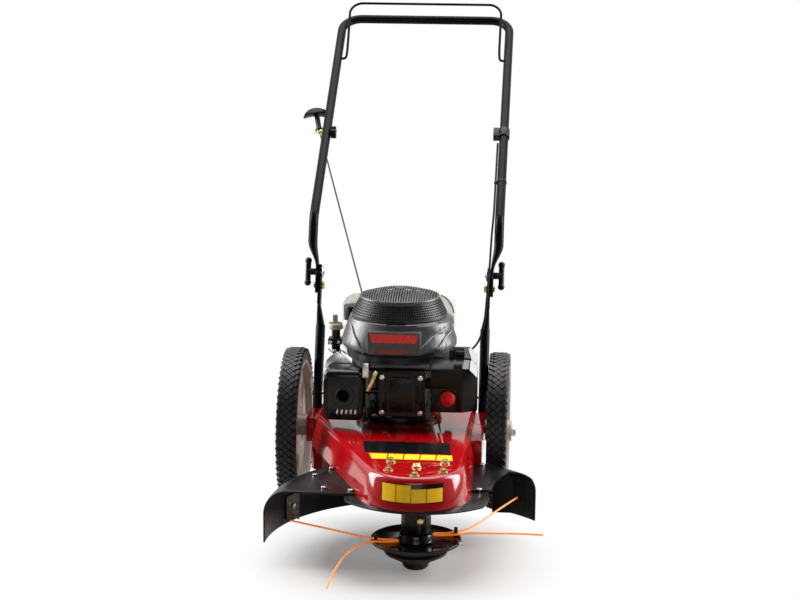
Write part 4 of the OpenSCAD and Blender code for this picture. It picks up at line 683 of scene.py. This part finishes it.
def lofted(stations, sides=28):
    """A skin over rings in mm: each has its middle, its two axes, their half sizes and how square it is."""
    corners, faces = [], []
    for middle, across, along, half_a, half_b, square in stations:
        for i in range(sides):
            turn = 2 * math.pi * i / sides
            c, d = (math.copysign(abs(v) ** square, v) for v in (math.cos(turn), math.sin(turn)))
            corners.append((middle + across * half_a * c + along * half_b * d) * MM)
    for j in range(len(stations) - 1):
        for i in range(sides):
            k = (i + 1) % sides
            faces.append((j * sides + i, j * sides + k, (j + 1) * sides + k, (j + 1) * sides + i))
    faces += [range(sides), range(len(corners) - sides, len(corners))]
    mesh = bpy.data.meshes.new("lofted")
    mesh.from_pydata(corners, [], faces)
    piece = bpy.data.objects.new("lofted", mesh)
    bpy.context.collection.objects.link(piece)
    return editing(piece, lambda: bpy.ops.mesh.normals_make_consistent(inside=False))


def leg_stations():
    """Rings up one leg and along half of the bar, for the right-hand side of the machine."""
    made = []
    for t in LEG_PLACES:
        share = eased(t, FLAT_FROM, FLAT_TO)
        trim = math.sqrt(max(END_LEAST, 1 - ((END_FROM - t) / END_LONG) ** 2)) if t < END_FROM else 1
        spot = PIVOT + LEG * t + ACROSS * (FLAT_IN + (HANDLE_HALF - FLAT_IN) * share)
        made.append((spot, ACROSS, Vector((0, -LEG.z, LEG.y)), FLAT_T + (TUBE_R - FLAT_T) * share,
                     (FLAT_W + (TUBE_R - FLAT_W) * share) * trim, FLAT_SQUARE + (1 - FLAT_SQUARE) * share))
    for i in range(1, BEND_STEPS):
        t = i / BEND_STEPS
        way = (LEG * (1 - t) + SLOPE * t).normalized()
        spot = BEND + LEG * -BEND_REACH * (1 - t) ** 2 + SLOPE * BEND_REACH * t ** 2 + ACROSS * HANDLE_HALF
        made.append((spot, ACROSS, Vector((0, -way.z, way.y)), TUBE_R, TUBE_R, 1))
    up, top = Vector((0, -SLOPE.z, SLOPE.y)), BEND + SLOPE * BAR_UP
    for t in (60, 250, 450, 650, BAR_UP - CORNER_R):
        made.append((BEND + SLOPE * t + ACROSS * HANDLE_HALF, ACROSS, up, TUBE_R, TUBE_R, 1))
    for i in range(1, CORNER_STEPS + 1):
        turn = math.pi / 2 * i / CORNER_STEPS
        spot = top + ACROSS * (HANDLE_HALF - CORNER_R + CORNER_R * math.cos(turn))
        spot = spot + SLOPE * CORNER_R * (math.sin(turn) - 1)
        made.append((spot, ACROSS * math.cos(turn) + SLOPE * math.sin(turn), up, TUBE_R, TUBE_R, 1))
    return made + [(top + ACROSS * x, SLOPE, up, TUBE_R, TUBE_R, 1) for x in (120, 60, 0)]


right_half = leg_stations()
left_half = [(Vector((-m.x, m.y, m.z)), Vector((-a.x, a.y, a.z)), u, *rest)
             for m, a, u, *rest in right_half[-2::-1]]
stations = [(m + ACROSS * MIDDLE_X, *rest) for m, *rest in right_half + left_half]
finished(lofted(stations), "upper_handle_tube", "black_tube", "upper_handle", ["upper_handle"], angle=50)

# Bail: one bent rod, its ends turned out into the handle
BAIL_WAY = Vector((0, 0.6259, 0.7799))
BAIL_DOWN, BAIL_R, BAIL_STEPS = 166, 3.2, 3
BAIL_HALF, BAIL_H, BAIL_CORNER = 198, 172, 33
BAIL_FOOT = BEND + SLOPE * (BAR_UP - BAIL_DOWN)
half = [(214, -2), (206, -2.6), (200.5, 0), (198, 7), (197, 30), (197.4, 80), (198, 139)]
half += [(BAIL_HALF - BAIL_CORNER * (1 - math.cos(a)), BAIL_H - BAIL_CORNER * (1 - math.sin(a)))
         for a in map(math.radians, range(15, 91, 15))]
half += [(120, BAIL_H), (60, BAIL_H)]
way = half + [(0, BAIL_H)] + [(-x, h) for x, h in reversed(half)]
rod = flowing([ACROSS * (MIDDLE_X + x) + BAIL_FOOT + BAIL_WAY * h for x, h in way], BAIL_STEPS)
finished(meshed(strand(rod, BAIL_R)), "bail_rod", slot_of["bail"], "bail", ["bail"])

# Cable tie round the right leg and the brake cable
TIE = (143, 793, 694.5)
TIE_CABLE, TIE_CABLE_R = (128.6, 793, 694.5), 2.6
STRAP_T, STRAP_HALF_W = 1.3, 2.2
strap = [turned([(r, -STRAP_HALF_W), (r + STRAP_T, -STRAP_HALF_W), (r + STRAP_T, STRAP_HALF_W),
                 (r, STRAP_HALF_W), (r, -STRAP_HALF_W)], centre, SLOPE, 40)
         for r, centre in ((TUBE_R, TIE), (TIE_CABLE_R, TIE_CABLE))]
tail = softened(block((152, TIE[1] - 3, TIE[2] - 13), (154, TIE[1], TIE[2] + 1)), 0.4)
finished(joined([*strap, tail]), "cable_clip_tie", slot_of["cable_clip"], "upper_handle",
         finish=finishes["black_plastic"])

# A dark line along the right of the tank's shoulder
DARK_ARC_Y, DARK_ARC_R = 548, 1.3
dark_arc = [(14.7, 466.6), (24, 461.4), (33.4, 451.4), (40.5, 439.4), (45.3, 425)]
dark_arc = meshed(strand(flowing([(x, DARK_ARC_Y, z) for x, z in dark_arc]), DARK_ARC_R))
finished(dark_arc, "fuel_tank_dark_arc", slot_of["fuel_tank"], "chassis", finish=finishes["black_plastic"])

# Plain film panels on the shroud and the deck
PANEL_Y, DECK_TOP = 284, 218
SHROUD_FILM_T, DECK_FILM_T = 0.5, 0.6
for name, finish, lift, outline in (
        ("shroud_panel", shroud_nylon, 0.1, [(-129, 433), (-16, 433), (-40, 385), (-112, 385)]),
        ("shroud_band", vinyl_red, 0.6, [(-126, 430), (-19, 430), (-25, 411), (-120, 411)]),
        ("shroud_strip", vinyl_dark_red, 0.6, [(-111, 396), (-41, 396), (-45, 387), (-107, 387)])):
    plate = slab([(x, PANEL_Y - lift, z) for x, z in outline], (0, -SHROUD_FILM_T, 0))
    finished(softened(plate, 0.2, 1), name, "grey_plastic", "chassis", finish=finish)
for name, finish, outline in (
        ("deck_panel", vinyl_black, [(-118, 92), (66, 92), (60, 178), (-128, 178)]),
        ("deck_strip", vinyl_yellow, [(-98, 46), (72, 46), (68, 84), (-106, 84)])):
    plate = slab([(x, y, DECK_TOP) for x, y in outline], (0, 0, DECK_FILM_T))
    finished(softened(plate, 0.25, 1), name, "deck_red", "chassis", finish=finish)

# Dark gaps between the cells of the yellow strip
CELLS_FROM, CELL_W, GAP_HALF_W = -100, 34, 1
for i in range(1, 5):
    x = CELLS_FROM + CELL_W * i
    bar = block((x - GAP_HALF_W, 47, DECK_TOP + 0.4), (x + GAP_HALF_W, 83, DECK_TOP + 1))
    finished(bar, f"deck_strip_gap_{i}", "deck_red", "chassis", finish=vinyl_black)

# Skirt of the left side box: a sheet rolled round its front corner, which hangs down behind the guard
ROLLED = [(-270, 450), (-270, 414), (-265, 401), (-254, 393), (-240, 390), (-212, 390),
          (-212, 392), (-240, 392), (-253, 395), (-263, 402), (-268, 414), (-268, 450)]
SKIRT_FOOT, SKIRT_H = 84, 70
skirt = slab([(x, y, SKIRT_FOOT) for x, y in ROLLED], (0, 0, SKIRT_H))
finished(skirt, "side_box_skirt_left", "deck_red", "chassis", angle=50)

# Bright balance clip on the rim of the head
clip = softened(block((89, -24, 57), (98, -15, 66)), 1)
finished(clip, "head_rim_clip", "zinc_steel", "head")

# Nose: a plain yellow film in four cells with a dark edge, on the deck's leaning front wall
NOSE = (-5, 14)
NOSE_R, NOSE_LEAN, NOSE_H = 101, 17, 66
NOSE_FILM_T = 0.5


def nose_patch(x0, x1, z0, z1, lift, columns=24, rows=4):
    """A patch that lies on the leaning wall of the nose, standing off it by a lift in mm."""
    clear()
    bpy.ops.mesh.primitive_grid_add(x_subdivisions=columns, y_subdivisions=rows, size=1)
    piece = bpy.context.object
    for vertex in piece.data.vertices:
        x = x0 + (x1 - x0) * (vertex.co.x + 0.5)
        z = z0 + (z1 - z0) * (vertex.co.y + 0.5)
        r = NOSE_R + NOSE_LEAN * (DECK_TOP - z) / NOSE_H + lift
        vertex.co = at(x, NOSE[1] - math.sqrt(r * r - (x - NOSE[0]) ** 2), z)
    return modified(piece, "SOLIDIFY", thickness=NOSE_FILM_T * MM, offset=-1)


finished(nose_patch(-66, 60, 169, 206, 0.5), "nose_panel_edge", "deck_red", "chassis", finish=vinyl_black)
cells = ((-64.5, -36.5, 204.5), (-35, -5.5, 204.5), (-4, 26, 197), (27.5, 58.5, 197))
for i, (x0, x1, z1) in enumerate(cells):
    finished(nose_patch(x0, x1, 170.5, z1, 0.9, 8), f"nose_panel_cell_{i + 1}", "deck_red", "chassis",
             finish=vinyl_yellow)

# Every other solid: seen ones get rounded edges, hidden ones only a finish
HIDDEN = {"spindle_carrier", "spindle_bearings", "drive_belt", "crankshaft", "drive_pulley", "flywheel",
          "spindle_shaft", "driven_pulley"}
ROUNDING = {"deck_shell": 1.2, "under_plate": 0.5, "guard_left": 0.9, "guard_right": 0.9, "muffler": 1.2,
            "filter_cover": 2.2, "filter_base": 1.4, "fuel_tank": 5, "blower_shroud": 1.2,
            "rocker_cover": 1.4, "fuel_cap": 1.8, "primer_bulb": 1.0, "starter_grip": 2.6,
            "wing_knob_left": 1.6, "wing_knob_right": 1.6, "star_knob": 1.5, "cable_clip": 1.5,
            "head_plate": 1.0, "glide_foot": 1.5, "hub_left": 1.2, "hub_right": 1.2, "crankcase": 1.5,
            "column_sleeve": 0.8}
USUAL_ROUNDING = 0.6
# Solids whose finish isn't their slot's
REFINISHED = {"blower_shroud": shroud_nylon, "head_plate": gloss_black, "carburettor": finishes["cast_metal"],
              "guard_bolts": finishes["zinc_steel"], "rope_guide": finishes["yellow_zinc"],
              "crankcase": finishes["grey_casting"], "cylinder": finishes["grey_casting"]}
REFINISHED.update({n: finishes["black_plastic"] for n in (
    "wing_knob_left", "wing_knob_right", "star_knob", "starter_grip", "fuel_cap", "filter_cover",
    "filter_base", "cable_clip")})
TRIMMED = ("filter_cover", "filter_base")
stood_for = {n for p in bpy.data.objects if "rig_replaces" in p for n in p["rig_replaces"]}
for node, solid in solids.items():
    if node in stood_for:
        continue
    if node in HIDDEN:
        for held in solid.material_slots:
            held.material = finishes[slot_of[node]]
        continue
    piece = copied(node)
    if node in TRIMMED:
        editing(piece, lambda: bpy.ops.mesh.bisect(plane_co=TRIM_AT * MM, plane_no=TRIM_WAY, use_fill=True,
                                                   clear_outer=True))
    softened(piece, ROUNDING.get(node, USUAL_ROUNDING))
    finished(piece, f"{node}_made", slot_of[node], body_of[node], [node], REFINISHED.get(node))

# Pale floor and plain soft light. Away from a point under the head the floor is pure white; near it the
# lamp-lit matt floor shows through, so the pool of shade round the head is partly real shadow and partly
# painted shade set by that distance
FLOOR_AT, FLOOR_SIZE = (-0.03, 0.05, 0), 16
FADE_FROM, FADE_TO, FADE_LEAST = 0.16, 0.34, 0.2
WHITE = (1, 1, 1, 1)
clear()
bpy.ops.mesh.primitive_plane_add(size=FLOOR_SIZE, location=FLOOR_AT)
floor = bpy.context.object
floor.name = "floor"
ground = bpy.data.materials.new("pale_floor")
ground.use_nodes = True
tree = ground.node_tree
tree.nodes.clear()
place = add(tree, "ShaderNodeTexCoord")
gap = add(tree, "ShaderNodeVectorMath", links={0: place.outputs["Object"]}, operation="LENGTH")
fade = add(tree, "ShaderNodeMapRange", {"From Min": FADE_FROM, "From Max": FADE_TO, "To Min": FADE_LEAST},
           {"Value": gap.outputs["Value"]})
rays = add(tree, "ShaderNodeLightPath")
matt = add(tree, "ShaderNodeBsdfPrincipled", {"Base Color": tint("#BDB4AE"), "Roughness": 0.55})
glow = add(tree, "ShaderNodeEmission", {"Color": WHITE, "Strength": 1.0})
share = add(tree, "ShaderNodeMath", links={0: fade.outputs[0], 1: rays.outputs["Is Camera Ray"]},
            operation="MULTIPLY")
both = add(tree, "ShaderNodeMixShader", links={0: share.outputs[0], 1: matt.outputs[0], 2: glow.outputs[0]})
add(tree, "ShaderNodeOutputMaterial", links={"Surface": both.outputs[0]})
floor.data.materials.append(ground)

world = bpy.data.worlds.new("pale_room")
bpy.context.scene.world = world
world.use_nodes = True
tree = world.node_tree
tree.nodes.clear()
rays = add(tree, "ShaderNodeLightPath")
seen = add(tree, "ShaderNodeMath", operation="MAXIMUM",
           links={0: rays.outputs["Is Camera Ray"], 1: rays.outputs["Is Transmission Ray"]})
# The sweep behind and over the machine is bright and the room in front of it dim. Polished faces see the
# sweep as white.
way = add(tree, "ShaderNodeTexCoord")
parts = add(tree, "ShaderNodeSeparateXYZ", links={0: way.outputs["Generated"]})
rise = add(tree, "ShaderNodeMapRange", {"From Min": 0.1, "From Max": 0.4, "To Min": 0.8, "To Max": 1.0},
           {"Value": parts.outputs["Z"]})
sweep = add(tree, "ShaderNodeMapRange", {"From Min": -0.55, "From Max": 0.25, "To Min": 0.1, "To Max": 1.0},
            {"Value": parts.outputs["Y"]})
gloss = add(tree, "ShaderNodeMapRange", {"To Min": 0.36, "To Max": 1.0},
            {"Value": rays.outputs["Is Glossy Ray"]})
level = add(tree, "ShaderNodeMath", links={0: sweep.outputs[0], 1: gloss.outputs[0]}, operation="MULTIPLY")
level = add(tree, "ShaderNodeMath", links={0: level.outputs[0], 1: rise.outputs[0]}, operation="MULTIPLY")
room = add(tree, "ShaderNodeBackground", {"Color": WHITE}, {"Strength": level.outputs[0]})
white = add(tree, "ShaderNodeBackground", {"Color": WHITE, "Strength": 1.0})
both = add(tree, "ShaderNodeMixShader", links={0: seen.outputs[0], 1: room.outputs[0], 2: white.outputs[0]})
add(tree, "ShaderNodeOutputWorld", links={"Surface": both.outputs[0]})


def softbox(name, place, aim, size, watts):
    """A soft rectangular lamp, with its place, aim and size in metres."""
    clear()
    place, aim = Vector(place), Vector(aim)
    facing = (aim - place).to_track_quat("-Z", "Y").to_euler()
    bpy.ops.object.light_add(type="AREA", location=place, rotation=facing)
    lamp = bpy.context.object
    lamp.name = name
    lamp.data.shape = "RECTANGLE"
    lamp.data.size, lamp.data.size_y = size
    lamp.data.energy = watts


softbox("lamp_top", (0.0, 1.4, 2.9), (0, 0.25, 0.1), (2.6, 2.0), 70)
softbox("lamp_left", (-2.4, 0.9, 1.4), (0, 0.4, 0.4), (1.4, 2.4), 125)
softbox("lamp_right", (2.4, 1.0, 1.4), (0, 0.4, 0.4), (1.4, 2.4), 125)
softbox("lamp_front", (0.3, -3.4, 1.2), (0, 0.3, 0.3), (2.0, 1.2), 15)

bpy.context.scene.view_settings.view_transform = "Standard"
